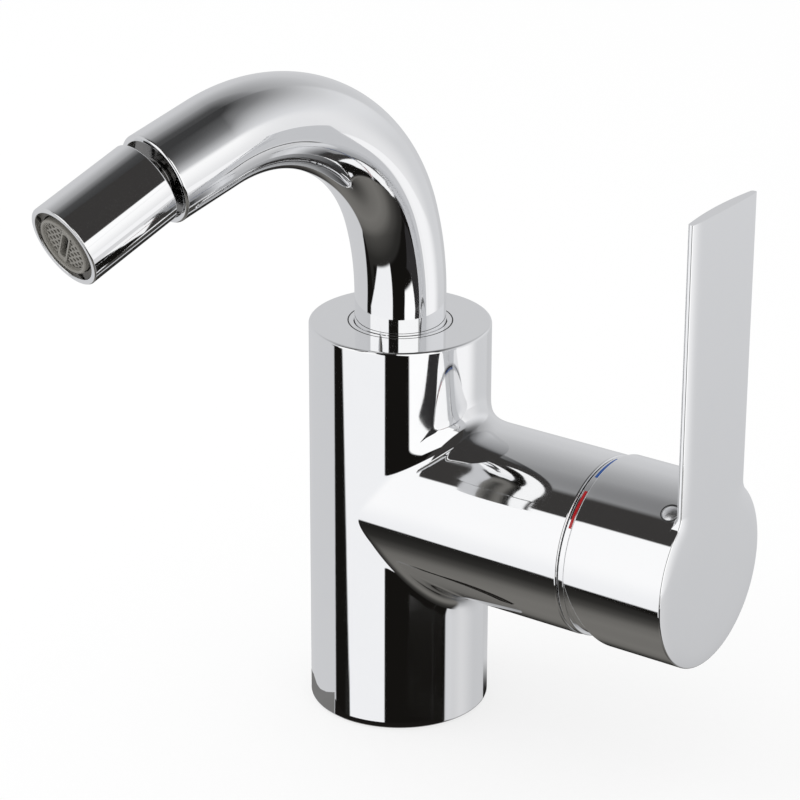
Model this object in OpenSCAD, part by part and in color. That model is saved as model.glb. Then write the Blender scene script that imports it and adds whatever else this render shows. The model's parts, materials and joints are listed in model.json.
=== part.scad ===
// Single-lever bidet mixer: upright body, side barrel with a cartridge and a lever handle,
// swivelling tube spout and a ball-jointed outlet with an aerator.
// Millimetres. Origin: centre of the base, on the deck. +Z up, barrel along +X, spout towards -Y.

/* [Body] */
// Diameter of the upright body
body_d = 46; // [45:0.5:52]
// Height of the upright body
body_h = 103.6; // [100:0.2:115]
// Rounding of the body's edges
edge_r = 0.7; // [0.4:0.1:1.2]
// Width of the base gasket
gasket_w = 2.6; // [1.5:0.1:4]
// Thickness of the base gasket
gasket_t = 2; // [1:0.1:3]

/* [Connections] */
// Wall diameter of the threaded inlets
inlet_thread_d = 9; // [8:0.1:10]
// Depth of the inlet threads
inlet_depth = 12; // [8:0.5:16]
// Distance of each inlet from the middle plane
inlet_side = 8; // [6.5:0.1:8.5]
// Distance of the inlets ahead of the body's axis, towards the barrel
inlet_ahead = 6; // [4:0.1:8]
// Wall diameter of the threaded stud hole
stud_thread_d = 6.8; // [5:0.1:8]
// Depth of the stud hole
stud_depth = 14; // [8:0.5:20]
// Distance of the stud hole behind the body's axis
stud_back = 10; // [8:0.1:12]
// Diameter of the upright inlet passages
inlet_bore_d = 6.4; // [5:0.1:7]

/* [Barrel] */
// How much smaller the barrel's radius is than the body's
barrel_inset = 0.2; // [0.1:0.1:1]
// Height of the barrel's axis
barrel_z = 58.2; // [54:0.1:60]
// Distance of the barrel's end from the body's axis
barrel_end = 62; // [60:0.5:72]
// Rounding of the barrel's end
barrel_edge = 0.6; // [0.3:0.1:1]
// Radius of the blend between body and barrel
blend_r = 5; // [3:0.5:7]

/* [Cartridge] */
// Diameter of the cartridge
cartridge_d = 35; // [34:0.2:36]
// Depth of the cartridge seat below the barrel's end
seat_depth = 32; // [31:0.2:34]
// Thickness of the cartridge's base plate
base_t = 5.7; // [4:0.1:6.5]
// Thickness of the fixed ceramic disc
fixed_disc_t = 3.5; // [3:0.1:4]
// Thickness of the moving ceramic disc
moving_disc_t = 3.5; // [3:0.1:4]
// Diameter of the moving ceramic disc
moving_disc_d = 22; // [20:0.2:22.4]
// Thickness of the disc carrier
carrier_t = 4.2; // [3.8:0.1:4.8]
// Wall of the cartridge housing
housing_wall = 2.5; // [2:0.1:2.6]
// Diameter of the rotor in the cartridge's neck
rotor_d = 23; // [22:0.2:24]
// Length of the cartridge's neck
neck_l = 17.5; // [15:0.5:18]
// Diameter of the cartridge nut
nut_d = 39; // [38:0.2:40]
// Length of the cartridge nut
nut_l = 5.5; // [4:0.1:6]
// Side of the square stem
stem_w = 8; // [7:0.1:8.4]
// Diameter of the pivot pin
pin_d = 3; // [2.5:0.1:3.5]
// Distance of the lever's pivot beyond the barrel's end
pivot_ahead = 2.3; // [2:0.1:3]

/* [Handle] */
// How far the handle's cap stands out beyond the barrel
cap_proud = 0.7; // [0.6:0.05:1.5]
// Wall of the handle's cap
cap_wall = 1.2; // [1:0.1:1.4]
// Distance of the handle's outer face beyond the barrel's end
face_ahead = 29.8; // [28.5:0.1:32]
// Thickness of the cap's end wall
face_wall = 4; // [3.5:0.1:5]
// Width of the lever
lever_w = 29.6; // [20:0.2:32]
// Height of the lever's top above the barrel's axis
lever_top = 93.5; // [60:0.5:100]
// Thickness of the lever at its middle
lever_t = 2.9; // [2.4:0.1:3.6]
// Thickness of the lever at its edges
lever_edge = 1.4; // [1:0.1:2]
// Radius of the fillets between lever and cap
lever_fillet = 5; // [3:0.5:8]
// Lift of the lever from shut to full flow, in degrees
lift = 18; // [10:1:18]
// Diameter of the plug over the grub screw
plug_d = 4.6; // [4.4:0.1:5]
// Diameter of the grub screw
grub_d = 4; // [3:0.5:4]
// Angle of the grub screw from the lever, in degrees
grub_angle = 32; // [25:1:40]
// Distance of the grub screw behind the handle's outer face
grub_back = 4.8; // [4.5:0.1:5.5]

/* [Indicator ring] */
// How far the ring's rim lies in from the barrel's surface
ring_inset = 0.2; // [0.1:0.05:0.3]
// Width of the ring's rim
ring_w = 1.65; // [1.4:0.05:1.7]
// Width of the coloured marks
mark_w = 0.75; // [0.5:0.05:0.9]
// Depth of the coloured marks
mark_t = 0.5; // [0.3:0.05:0.8]
// Middle angle of the hot mark above the front, in degrees
hot_angle = 45; // [40:1:50]
// Middle angle of the cold mark above the front, in degrees
cold_angle = 83; // [78:1:90]
// Length of each mark, in degrees
mark_angle = 26; // [15:1:30]

/* [Spout] */
// Diameter of the spout tube
tube_d = 23; // [21:0.2:24]
// Wall of the spout tube
tube_wall = 1.5; // [1.2:0.1:1.6]
// Turn of the spout from straight ahead, in degrees
spout_turn = -13.2; // [-40:0.1:40]
// Straight rise of the tube above the body
rise = 7; // [4:0.5:20]
// Radius of the tube's first, slow bend
lead_r = 77; // [60:1:100]
// Angle of the first bend
lead_angle = 17; // [10:0.5:25]
// Radius of the tube's main bend
bend_r = 44.6; // [38:0.2:60]
// Angle of the main bend
bend_angle = 90; // [75:0.5:95]
// Straight tail at the spout's end
tail_l = 17.8; // [17:0.2:30]
// Depth of the spout socket in the body
socket_depth = 24; // [23:0.2:26]
// Swivel of the spout to each side, in degrees
swivel = 45; // [20:1:50]

/* [Outlet] */
// Diameter of the ball
ball_d = 16.4; // [15:0.1:16.8]
// Diameter of the ball's neck
ball_neck_d = 8.8; // [7:0.1:9]
// Distance of the ball's centre beyond the spout's end
ball_ahead = 8; // [7.5:0.1:9]
// Distance of the outlet's top beyond the spout's end
outlet_gap = 2.2; // [2:0.1:2.6]
// Length of the outlet
outlet_l = 26; // [25.5:0.1:30]
// Diameter of the outlet at its top
outlet_top_d = 21; // [20.8:0.1:22]
// Diameter of the outlet at its mouth
outlet_end_d = 21.3; // [20.8:0.1:22]
// Downward tilt of the outlet from the spout's line, in degrees
outlet_tilt = 5.7; // [-8:0.1:8]
// Thickness of the slip ring round the ball
slip_t = 0.8; // [0.6:0.1:0.9]
// Diameter of the aerator's thread bore
aerator_d = 18.5; // [18.5:0.1:18.8]
// Depth of the aerator below the outlet's mouth
aerator_recess = 1.3; // [0.5:0.1:2]
// Width across the flats of a honeycomb cell
cell_w = 1.4; // [1.2:0.1:1.6]
// Wall between two honeycomb cells
cell_wall = 0.35; // [0.3:0.05:0.6]

/* [Hidden] */
$fn = 96;
// Clearances: running fit, fixed fit, water film between flat faces, gap between bodies
run_gap = 0.05;
fit_gap = 0.02;
film = 0.02;
part_gap = 0.3;

body_r = body_d / 2;
barrel_r = body_r - barrel_inset;
gasket_in = 3.4;
gasket_r = body_r - gasket_in;

// Blend of the barrel into the body: half its angle, steps along and round it, depth under the skin
blend_span = 66;
blend_steps = 16;
blend_arcs = 4;
blend_sink = 0.3;

// Spout socket, from the top down
tube_r = tube_d / 2;
tube_in_r = tube_r - tube_wall;
tube_lip = 0.7;
spout_lap = 0.3;
hair = 0.06;
socket_gap = 0.5;
socket_r = tube_r + socket_gap;
socket_chamfer = 0.65;
socket_floor = body_h - socket_depth;
thrust_t = 1;
spigot_z = socket_floor + thrust_t + run_gap;
tube_sink = 4;
tube_z = body_h - tube_sink;
spigot_bore_r = 7;
nipple_l = 9;
glide_h = 2.2;
glide_t = 1.45;
glide_stand = 0.9;
glide_below = 3.4;
glide_z = [spigot_z + glide_stand, tube_z - glide_below];
seal_r = 0.9;
seal_first = 4.9;
seal_pitch = 2.7;
seal_z = [spigot_z + seal_first, spigot_z + seal_first + seal_pitch];
seal_centre_r = socket_r - run_gap - seal_r;
glide_in_r = socket_r - run_gap - glide_t;
lock_up = 11.5;
lock_z = spigot_z + lock_up;
lock_r = 2.4;
lock_tip_r = 1.4;
lock_slot_depth = 1.2;
lock_slot_floor_r = tube_r - lock_slot_depth;

// Spout centreline in its own upright plane: [forward, up]
z1 = body_h + rise;
lead_end = [lead_r * (1 - cos(lead_angle)), z1 + lead_r * sin(lead_angle)];
bend_centre = lead_end + bend_r * [cos(lead_angle), -sin(lead_angle)];
heading = lead_angle + bend_angle;
bend_end = bend_centre - bend_r * [cos(heading), -sin(heading)];
tail_end = bend_end + tail_l * [sin(heading), cos(heading)];
ball_at = tail_end + ball_ahead * [sin(heading), cos(heading)];

// Ball joint and outlet, measured along the outlet from the ball's centre
ball_r = ball_d / 2;
ball_gap = 0.1;
slip_in_r = ball_r + ball_gap;
slip_out_r = slip_in_r + slip_t;
seat_r = slip_out_r + ball_gap;
slip_half = 4.9;
ball_bore_r = 3;
bush_recess = 1.6;
bush_l = 11;
bush_end = -ball_ahead - bush_recess;
bush_seal_r = 0.8;
bush_seal_floor = tube_in_r - 2 * bush_seal_r - 3 * fit_gap;
outlet_z0 = outlet_gap - ball_ahead;
outlet_z1 = outlet_z0 + outlet_l;
thread_r = aerator_d / 2;
retainer_z0 = 2.5;
retainer_past = 1.3;
retainer_z1 = ball_r + retainer_past;
retainer_bore_r = 5.5;
washer_t = 1.2;
aerator_z0 = retainer_z1 + washer_t;
aerator_z1 = outlet_z1 - aerator_recess;
aerator_r = thread_r - run_gap;
aerator_wall = 1.45;
ledge_t = 1.5;
ledge_w = 0.9;
jet_t = 1.2;
grid_t = 2.7;
grid_rim = 0.6;
grid_r = aerator_r - aerator_wall - fit_gap;
coin_slot_w = 2;
coin_slot_depth = 1.4;

// Stations along the barrel, from the body's axis
seat_x = barrel_end - seat_depth;
seal_stand = 0.3;
base_x = seat_x + seal_stand;
fixed_disc_x = base_x + base_t;
moving_disc_x = fixed_disc_x + fixed_disc_t + film;
carrier_x = moving_disc_x + moving_disc_t;
flange_x = carrier_x + carrier_t + 0.2;
flange_t = 2.4;
neck_x = flange_x + flange_t + 0.2;
shoulder_t = 1.5;
nut_x = neck_x + shoulder_t;
ring_sleeve_x = nut_x + nut_l;
ring_x = barrel_end + 0.25;
dome_x = ring_x + ring_w;
pivot_x = barrel_end + pivot_ahead;
rotor_end_x = nut_x + neck_l + 1;
cap_x = dome_x + part_gap;
face_x = barrel_end + face_ahead;
grub_x = face_x - grub_back;

// Cartridge radii
chamber_gap = 0.1;
chamber_r = cartridge_d / 2 + chamber_gap;
housing_r = cartridge_d / 2 - chamber_gap;
housing_in_r = housing_r - housing_wall;
fixed_disc_r = housing_in_r - 0.3;
rotor_r = rotor_d / 2;
neck_in_r = rotor_r + run_gap;
neck_wall = 1.45;
neck_r = neck_in_r + neck_wall;
nut_r = nut_d / 2;
thread_gap = 0.05;
slot_gap = 0.2;
pin_r = pin_d / 2;
pin_half = rotor_r - 0.7;

// Stem: its tip drives the disc carrier, and its end carries the handle
tip_r = 2;
tip_ahead = 2.58;
tip_x = carrier_x + tip_ahead;
arm = pivot_x - tip_x;
arm_t = 3.2;
stroke = arm * sin(lift);
shank_back = 7.3;
shank_x = pivot_x - shank_back;
stem_short = 2.2;
stem_end_x = face_x - stem_short;
slot_up = sin(lift) * (pivot_x - flange_x) / cos(lift) + arm_t / 2 / cos(lift) + 0.4;
slot_down = tan(lift) * (rotor_end_x - pivot_x) + stem_w / 2 / cos(lift) + 0.4;

// Water ports of the cartridge: [sideways, up, bore radius, seal radius]
ports = [[-4.6, 4.6, 1.9, 2.4], [4.6, 4.6, 1.9, 2.4], [0, -1.6, 3.2, 3.8]];
port_seal_r = 0.5;
outlet_port = ports[2];
outlet_back = 2;
mixing_up = ports[0][1] - ports[0][2] - 0.5;
mixing_down = outlet_port[1] - outlet_port[2] - 1.2;
mixing_w = 13;
mixing_depth = 1.6;

// Handle
cap_r = barrel_r + cap_proud;
cap_in_r = cap_r - cap_wall;
cap_edge = 0.6;
relief = lift + 0.5;
dome_gap = 0.4;
dome_r = cap_in_r - dome_gap;
dome_l = 11;
ring_r = barrel_r - ring_inset;
ring_wall = 4;
ring_edge = 0.25;
ring_bore_r = dome_r - ring_wall;
hub_r = 8.5;
hub_x = rotor_end_x + 4;
sleeve_t = 0.8;
plug_t = 2.6;
plug_proud = 0.35;
plug_top = cap_r + plug_proud;
plug_seat = plug_top - plug_t;
pillar_r = plug_d / 2 + 1.7;
grub_from = stem_w / 2 + 0.2;
grub_to = 15;
lever_bulge = lever_t - lever_edge;
lever_back_r = (pow(lever_w / 2, 2) + pow(lever_bulge, 2)) / (2 * lever_bulge);

// Colours
chrome = [0.80, 0.81, 0.83];
brass = [0.78, 0.62, 0.32];
rubber = [0.12, 0.12, 0.13];
white_plastic = [0.90, 0.90, 0.88];
grey_plastic = [0.42, 0.41, 0.39];
black_plastic = [0.10, 0.10, 0.10];
ceramic = [0.95, 0.94, 0.92];
steel = [0.62, 0.63, 0.65];

// Frame on the barrel's axis: local z runs along +X, local y up
module on_barrel(x) {
    translate([x, 0, barrel_z])
        rotate([90, 0, 90])
            children();
}

// Frame of the grub screw: local z runs out through the cap's side
module on_grub() {
    translate([grub_x, 0, barrel_z])
        rotate([grub_angle, 0, 0])
            children();
}

// Frame of the turned spout: local x runs forward, local z up
module in_spout() {
    rotate([0, 0, spout_turn - 90])
        children();
}

// Frame at the ball's centre: local z runs along the spout's line, dipped by an angle
module at_ball(dip = 0) {
    in_spout()
        translate([ball_at[0], 0, ball_at[1]])
            rotate([0, heading + dip, 0])
                children();
}

module tube_ring(outer, inner, h) {
    difference() {
        cylinder(r = outer, h = h);
        translate([0, 0, -1])
            cylinder(r = inner, h = h + 2);
    }
}

module o_ring(radius, section) {
    rotate_extrude()
        translate([radius, 0])
            circle(section);
}

// Half outline of a post with both edges rounded
module post_outline(r, h, e) {
    square([r - e, h]);
    translate([0, e])
        square([r, h - 2 * e]);
    for (z = [e, h - e])
        translate([r - e, z])
            circle(e);
}

// Rod of radius r along the spout's centreline, from height z0 to a length past the spout's end.
// Each stretch laps a little into the next, a hair thicker, so that all join into one solid.
module spout_rod(r, z0, past, end_edge) {
    lap_angle = spout_lap / lead_r * 180 / PI;
    translate([0, 0, z0])
        cylinder(r = r + 2 * hair, h = z1 - z0 + spout_lap);
    translate([lead_r, 0, z1])
        rotate([90, 0, 0])
            rotate([0, 0, 180 - lead_angle - lap_angle])
                rotate_extrude(angle = lead_angle + lap_angle)
                    translate([lead_r, 0])
                        circle(r + hair);
    translate([bend_centre[0], 0, bend_centre[1]])
        rotate([90, 0, 0])
            rotate([0, 0, 180 - heading])
                rotate_extrude(angle = bend_angle)
                    translate([bend_r, 0])
                        circle(r);
    translate([bend_end[0], 0, bend_end[1]])
        rotate([0, heading, 0])
            translate([0, 0, -spout_lap])
                rotate_extrude()
                    tail_outline(r + hair, tail_l + spout_lap + past, end_edge);
}

// Half outline of a rod whose far edge is rounded
module tail_outline(r, h, e) {
    square([r - e, h]);
    square([r, h - e]);
    if (e > 0)
        translate([r - e, h - e])
            circle(e);
}

// Rolling-ball blend between body and barrel: side 1 is the upper band, side -1 the lower one.
// The ball of radius blend_r touches both cylinders, and its centre runs round the barrel.

function blend_centre(a) =
    let (y = (barrel_r + blend_r) * sin(a))
    [sqrt(pow(body_r + blend_r, 2) - y * y), y, (barrel_r + blend_r) * cos(a)];

function blend_touch_body(c) = [c[0], c[1], 0] * (-1 / (body_r + blend_r));

function blend_touch_barrel(c) = [0, c[1], c[2]] * (-1 / (barrel_r + blend_r));

function blend_section(a) =
    let (c = blend_centre(a), p = blend_touch_body(c), q = blend_touch_barrel(c))
    concat(
        [c + p * (blend_r + blend_sink)],
        [for (i = [1:blend_arcs - 1])
            let (m = p * (blend_arcs - i) + q * i)
            c + m * blend_r / norm(m)],
        [c + q * (blend_r + blend_sink), c + (p + q) * blend_r * 1.2]
    );

module blend_band(side) {
    n = blend_arcs + 2;
    points = [for (k = [0:blend_steps]) each blend_section(blend_span * (2 * k / blend_steps - 1))];
    sides = [for (k = [0:blend_steps - 1], i = [0:n - 1])
        let (a = k * n + i, b = k * n + (i + 1) % n)
        each [[a, a + n, b], [b, a + n, b + n]]];
    ends = [for (i = [1:n - 2])
        each [[0, i, i + 1], [blend_steps * n, blend_steps * n + i + 1, blend_steps * n + i]]];
    translate([0, 0, barrel_z])
        mirror([0, 0, side < 0 ? 1 : 0])
            polyhedron(points, concat(sides, ends));
}

module body_casting() {
    color(chrome)
        difference() {
            union() {
                rotate_extrude()
                    post_outline(body_r, body_h, edge_r);
                on_barrel(0)
                    rotate_extrude()
                        post_outline(barrel_r, barrel_end, barrel_edge);
                blend_band(1);
                blend_band(-1);
            }
            body_sockets();
            body_passages();
            body_base_holes();
        }
}

// Spout socket, hole of the lock screw, cartridge chamber and nut thread
module body_sockets() {
    translate([0, 0, socket_floor])
        cylinder(r = socket_r, h = socket_depth + 1);
    translate([0, 0, body_h - socket_chamfer])
        cylinder(r1 = socket_r, r2 = socket_r + 2 * socket_chamfer, h = 2 * socket_chamfer);
    translate([0, 0, lock_z])
        rotate([-90, 0, 0])
            cylinder(r = lock_r + fit_gap, h = body_d);
    on_barrel(seat_x)
        cylinder(r = chamber_r, h = seat_depth + 1);
    on_barrel(nut_x - 0.5)
        cylinder(r = nut_r + thread_gap, h = seat_depth);
}

// Two inlet ways to the cartridge, and one mixed-water way up to the spout
module body_passages() {
    for (p = [ports[0], ports[1]])
        on_barrel(inlet_ahead)
            translate([p[0], p[1], 0])
                cylinder(r = p[2] + 0.5, h = seat_x - inlet_ahead + 1);
    for (s = [-1, 1])
        translate([inlet_ahead, s * inlet_side, -1])
            cylinder(d = inlet_bore_d, h = barrel_z + ports[0][1] + ports[0][2] + 1);
    on_barrel(-outlet_back)
        translate([outlet_port[0], outlet_port[1], 0])
            cylinder(r = outlet_port[2], h = seat_x + outlet_back + 1);
    translate([-outlet_back, 0, barrel_z + outlet_port[1]])
        cylinder(r = outlet_port[2] + 0.8, h = socket_floor - barrel_z - outlet_port[1] + 1);
}

module body_base_holes() {
    for (s = [-1, 1])
        translate([inlet_ahead, s * inlet_side, -1])
            cylinder(d = inlet_thread_d, h = inlet_depth + 1);
    translate([-stud_back, 0, -1])
        cylinder(d = stud_thread_d, h = stud_depth + 1);
    translate([0, 0, -1])
        tube_ring(gasket_r + gasket_w / 2, gasket_r - gasket_w / 2, gasket_t + 1);
}

module base_gasket() {
    color(rubber)
        tube_ring(gasket_r + gasket_w / 2 - fit_gap, gasket_r - gasket_w / 2 + fit_gap, gasket_t);
}

// Grooves for one set of port seals, sunk from local z = 0 upwards
module port_seal_grooves(depth) {
    for (p = ports)
        translate([p[0], p[1], -1])
            tube_ring(p[3] + port_seal_r + fit_gap, p[3] - port_seal_r - fit_gap, depth + 1);
}

module port_seals() {
    for (p = ports)
        translate([p[0], p[1], 0])
            o_ring(p[3], port_seal_r);
}

module port_bores(h) {
    for (p = ports)
        translate([p[0], p[1], -1])
            cylinder(r = p[2] - fit_gap, h = h + 2);
}

module cartridge_base() {
    color(white_plastic)
        difference() {
            on_barrel(base_x)
                cylinder(r = housing_r, h = base_t);
            on_barrel(base_x)
                port_bores(base_t);
            on_barrel(base_x)
                port_seal_grooves(2 * port_seal_r - seal_stand);
            on_barrel(fixed_disc_x)
                mirror([0, 0, 1])
                    port_seal_grooves(2 * port_seal_r);
        }
}

module base_port_seals() {
    color(rubber)
        on_barrel(seat_x + port_seal_r)
            port_seals();
}

module fixed_disc() {
    color(ceramic)
        on_barrel(fixed_disc_x)
            difference() {
                cylinder(r = fixed_disc_r, h = fixed_disc_t);
                port_bores(fixed_disc_t);
            }
}

module disc_port_seals() {
    color(rubber)
        on_barrel(fixed_disc_x - port_seal_r)
            port_seals();
}

// Cup over the discs, with the neck that guides the rotor
module cartridge_housing() {
    color(white_plastic)
        difference() {
            union() {
                on_barrel(fixed_disc_x)
                    cylinder(r = housing_r, h = nut_x - fixed_disc_x);
                on_barrel(fixed_disc_x)
                    cylinder(r = neck_r, h = nut_x - fixed_disc_x + neck_l);
            }
            on_barrel(fixed_disc_x - 1)
                cylinder(r = housing_in_r, h = neck_x - fixed_disc_x + 1);
            on_barrel(fixed_disc_x)
                cylinder(r = neck_in_r, h = barrel_end);
        }
}

module cartridge_nut() {
    slot_w = 4;
    slot_depth = 2;
    color(brass)
        difference() {
            on_barrel(nut_x)
                tube_ring(nut_r, neck_r + part_gap, nut_l);
            on_barrel(ring_sleeve_x - slot_depth)
                translate([-nut_r, -slot_w / 2, 0])
                    cube([nut_d, slot_w, slot_depth + 1]);
        }
}

// Rim and dome of the chrome ring behind the handle
module indicator_ring() {
    color(chrome)
        difference() {
            union() {
                on_barrel(ring_sleeve_x)
                    cylinder(r = nut_r - 0.1, h = ring_x - ring_sleeve_x + 0.5);
                on_barrel(ring_x)
                    rotate_extrude()
                        post_outline(ring_r, ring_w, ring_edge);
                on_barrel(pivot_x)
                    intersection() {
                        sphere(dome_r);
                        translate([0, 0, dome_x - pivot_x - 1])
                            cylinder(r = cap_r, h = dome_l + 1);
                    }
            }
            on_barrel(ring_sleeve_x - 1)
                cylinder(r = ring_bore_r, h = face_ahead);
            mark_arc(hot_angle, fit_gap);
            mark_arc(cold_angle, fit_gap);
        }
}

// Arc of enamel let into the ring's rim, with a margin all round
module mark_arc(middle, margin) {
    margin_angle = margin / ring_r * 180 / PI;
    half = mark_angle / 2 + margin_angle;
    on_barrel(dome_x - mark_w - 0.25 - margin)
        rotate([0, 0, 180 - middle - half])
            rotate_extrude(angle = 2 * half)
                translate([ring_r - mark_t - margin, 0])
                    square([mark_t + (margin > 0 ? 1 : 0), mark_w + 2 * margin]);
}

module hot_mark() {
    color([0.70, 0.06, 0.10])
        mark_arc(hot_angle, 0);
}

module cold_mark() {
    color([0.12, 0.32, 0.60])
        mark_arc(cold_angle, 0);
}

module spout_thrust_ring() {
    color(white_plastic)
        translate([0, 0, socket_floor])
            tube_ring(socket_r - 0.1, spigot_bore_r, thrust_t);
}

// Grub screw at the back whose dog point runs in the spigot's slot
module spout_lock_screw() {
    dog_x = socket_r + 0.8;
    hex_w = 2.5;
    color(steel)
        translate([0, 0, lock_z])
            rotate([-90, 0, 0])
                difference() {
                    union() {
                        translate([0, 0, lock_slot_floor_r + part_gap])
                            cylinder(r = lock_tip_r, h = dog_x - lock_slot_floor_r);
                        translate([0, 0, dog_x])
                            cylinder(r = lock_r, h = body_r - 1 - dog_x);
                    }
                    translate([0, 0, body_r - 4])
                        cylinder(d = hex_w / cos(30), h = 4, $fn = 6);
                }
}

// Plastic rotor that turns with the handle and carries the stem's pivot
module rotor() {
    color(grey_plastic)
        difference() {
            union() {
                on_barrel(flange_x)
                    cylinder(r = fixed_disc_r, h = flange_t);
                on_barrel(flange_x)
                    cylinder(r = rotor_r, h = rotor_end_x - flange_x);
            }
            on_barrel(flange_x - 1)
                translate([-stem_w / 2 - slot_gap, -slot_down, 0])
                    cube([stem_w + 2 * slot_gap, slot_down + slot_up, rotor_end_x - flange_x + 2]);
            pivot_axis(pin_r + fit_gap, rotor_r + 1);
        }
}

// Cylinder on the stem's pivot, across the barrel
module pivot_axis(r, half) {
    translate([pivot_x, -half, barrel_z])
        rotate([-90, 0, 0])
            cylinder(r = r, h = 2 * half);
}

module pivot_pin() {
    color(steel)
        pivot_axis(pin_r, pin_half);
}

// The moving disc and its carrier lie half a stroke below the middle when the tap is shut
module moving_disc() {
    color(ceramic)
        difference() {
            on_barrel(moving_disc_x)
                translate([0, -stroke / 2, 0])
                    cylinder(d = moving_disc_d, h = moving_disc_t);
            on_barrel(moving_disc_x - 1)
                translate([-mixing_w / 2, mixing_down, 0])
                    cube([mixing_w, mixing_up - mixing_down, mixing_depth + 1]);
        }
}

module disc_carrier() {
    color(grey_plastic)
        difference() {
            on_barrel(carrier_x)
                translate([0, -stroke / 2, 0])
                    cylinder(d = moving_disc_d, h = carrier_t);
            on_barrel(carrier_x - 1)
                translate([-stem_w / 2, -tip_r - slot_gap, 0])
                    cube([stem_w, 2 * (tip_r + slot_gap), carrier_t + 2]);
        }
}

module stem() {
    arm_w = stem_w - 0.4;
    color(brass)
        difference() {
            union() {
                translate([tip_x, -arm_w / 2, barrel_z])
                    rotate([-90, 0, 0])
                        cylinder(r = tip_r, h = arm_w);
                on_barrel(tip_x)
                    translate([-arm_w / 2, -arm_t / 2, 0])
                        cube([arm_w, arm_t, shank_x - tip_x + 1]);
                on_barrel(shank_x)
                    translate([-stem_w / 2, -stem_w / 2, 0])
                        cube([stem_w, stem_w, stem_end_x - shank_x]);
            }
            pivot_axis(pin_r + run_gap, stem_w);
            on_grub()
                translate([0, 0, grub_from - fit_gap])
                    cylinder(r = grub_d / 2 + fit_gap, h = stem_w);
        }
}

// Square plastic sleeve that takes up the play between stem and handle
module stem_sleeve() {
    side_in = stem_w + 2 * fit_gap;
    side_out = side_in + 2 * sleeve_t;
    color(white_plastic)
        difference() {
            on_barrel(hub_x)
                translate([-side_out / 2, -side_out / 2, 0])
                    cube([side_out, side_out, grub_x - pillar_r - hub_x]);
            on_barrel(hub_x - 1)
                translate([-side_in / 2, -side_in / 2, 0])
                    cube([side_in, side_in, face_ahead]);
        }
}

// Cap and lever in one casting
module handle() {
    sleeve_side = stem_w + 2 * sleeve_t + 4 * fit_gap;
    stem_side = stem_w + 2 * fit_gap;
    color(chrome)
        difference() {
            union() {
                handle_shell();
                on_barrel(hub_x)
                    cylinder(r = hub_r, h = face_x - face_wall / 2 - hub_x);
                on_grub()
                    cylinder(r = pillar_r, h = cap_in_r + cap_wall / 2);
            }
            on_barrel(hub_x - 1)
                translate([-sleeve_side / 2, -sleeve_side / 2, 0])
                    cube([sleeve_side, sleeve_side, grub_x - pillar_r - hub_x + 1]);
            on_barrel(hub_x)
                translate([-stem_side / 2, -stem_side / 2, 0])
                    cube([stem_side, stem_side, stem_end_x - hub_x + 0.2]);
            on_grub()
                cylinder(r = grub_d / 2 + fit_gap, h = cap_r);
            on_grub()
                translate([0, 0, plug_seat])
                    cylinder(r = plug_d / 2 + fit_gap, h = cap_r);
        }
}

// Hollow cap, lever and fillets; the cap's rear edge is cut back below for the lever's lift
module handle_shell() {
    difference() {
        union() {
            on_barrel(cap_x)
                rotate_extrude()
                    post_outline(cap_r, face_x - cap_x, cap_edge);
            lever();
            for (s = [-1, 1])
                on_barrel(face_x - lever_edge)
                    linear_extrude(height = lever_edge)
                        lever_fillet_outline(s);
        }
        on_barrel(cap_x - 1)
            cylinder(r = cap_in_r, h = face_x - face_wall - cap_x + 1);
        translate([cap_x, 0, barrel_z])
            rotate([0, -relief, 0])
                translate([-2 * cap_r, -2 * cap_r, -4 * cap_r])
                    cube([2 * cap_r, 4 * cap_r, 4 * cap_r]);
    }
}

// Flat outside, bulged inside, with round edges
module lever() {
    half = lever_w / 2 - lever_edge / 2;
    translate([face_x, 0, barrel_z])
        linear_extrude(height = lever_top) {
            intersection() {
                translate([-lever_t, -half])
                    square([lever_t, 2 * half]);
                translate([lever_back_r - lever_t, 0])
                    circle(lever_back_r, $fn = 360);
            }
            for (s = [-1, 1])
                translate([-lever_edge / 2, s * half])
                    circle(lever_edge / 2);
        }
}

// Corner between the cap's rim and the lever's side, hollowed by a circle that touches both
module lever_fillet_outline(s) {
    side = lever_w / 2 - lever_edge / 2;
    away = side + lever_fillet;
    up = sqrt(pow(cap_r - cap_edge + lever_fillet, 2) - away * away);
    touch = [away, up] * (cap_r - cap_edge) / (cap_r - cap_edge + lever_fillet);
    scale([s, 1])
        difference() {
            polygon([[side - 1, touch[1] - 4], [side - 1, up], [away, up], touch, touch * 0.9]);
            translate([away, up])
                circle(lever_fillet);
        }
}

module grub_screw() {
    hex_w = 2;
    color(steel)
        on_grub()
            difference() {
                translate([0, 0, grub_from])
                    cylinder(d = grub_d, h = grub_to - grub_from);
                translate([0, 0, grub_to - 2.5])
                    cylinder(d = hex_w / cos(30), h = 3, $fn = 6);
            }
}

module grub_plug() {
    color(chrome)
        on_grub()
            translate([0, 0, plug_seat])
                cylinder(d = plug_d, h = plug_t);
}

module spout_tube() {
    color(chrome)
        in_spout()
            difference() {
                spout_rod(tube_r, tube_z, 0, tube_lip);
                spout_rod(tube_in_r, tube_z - 1, 1, 0);
            }
}

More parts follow.
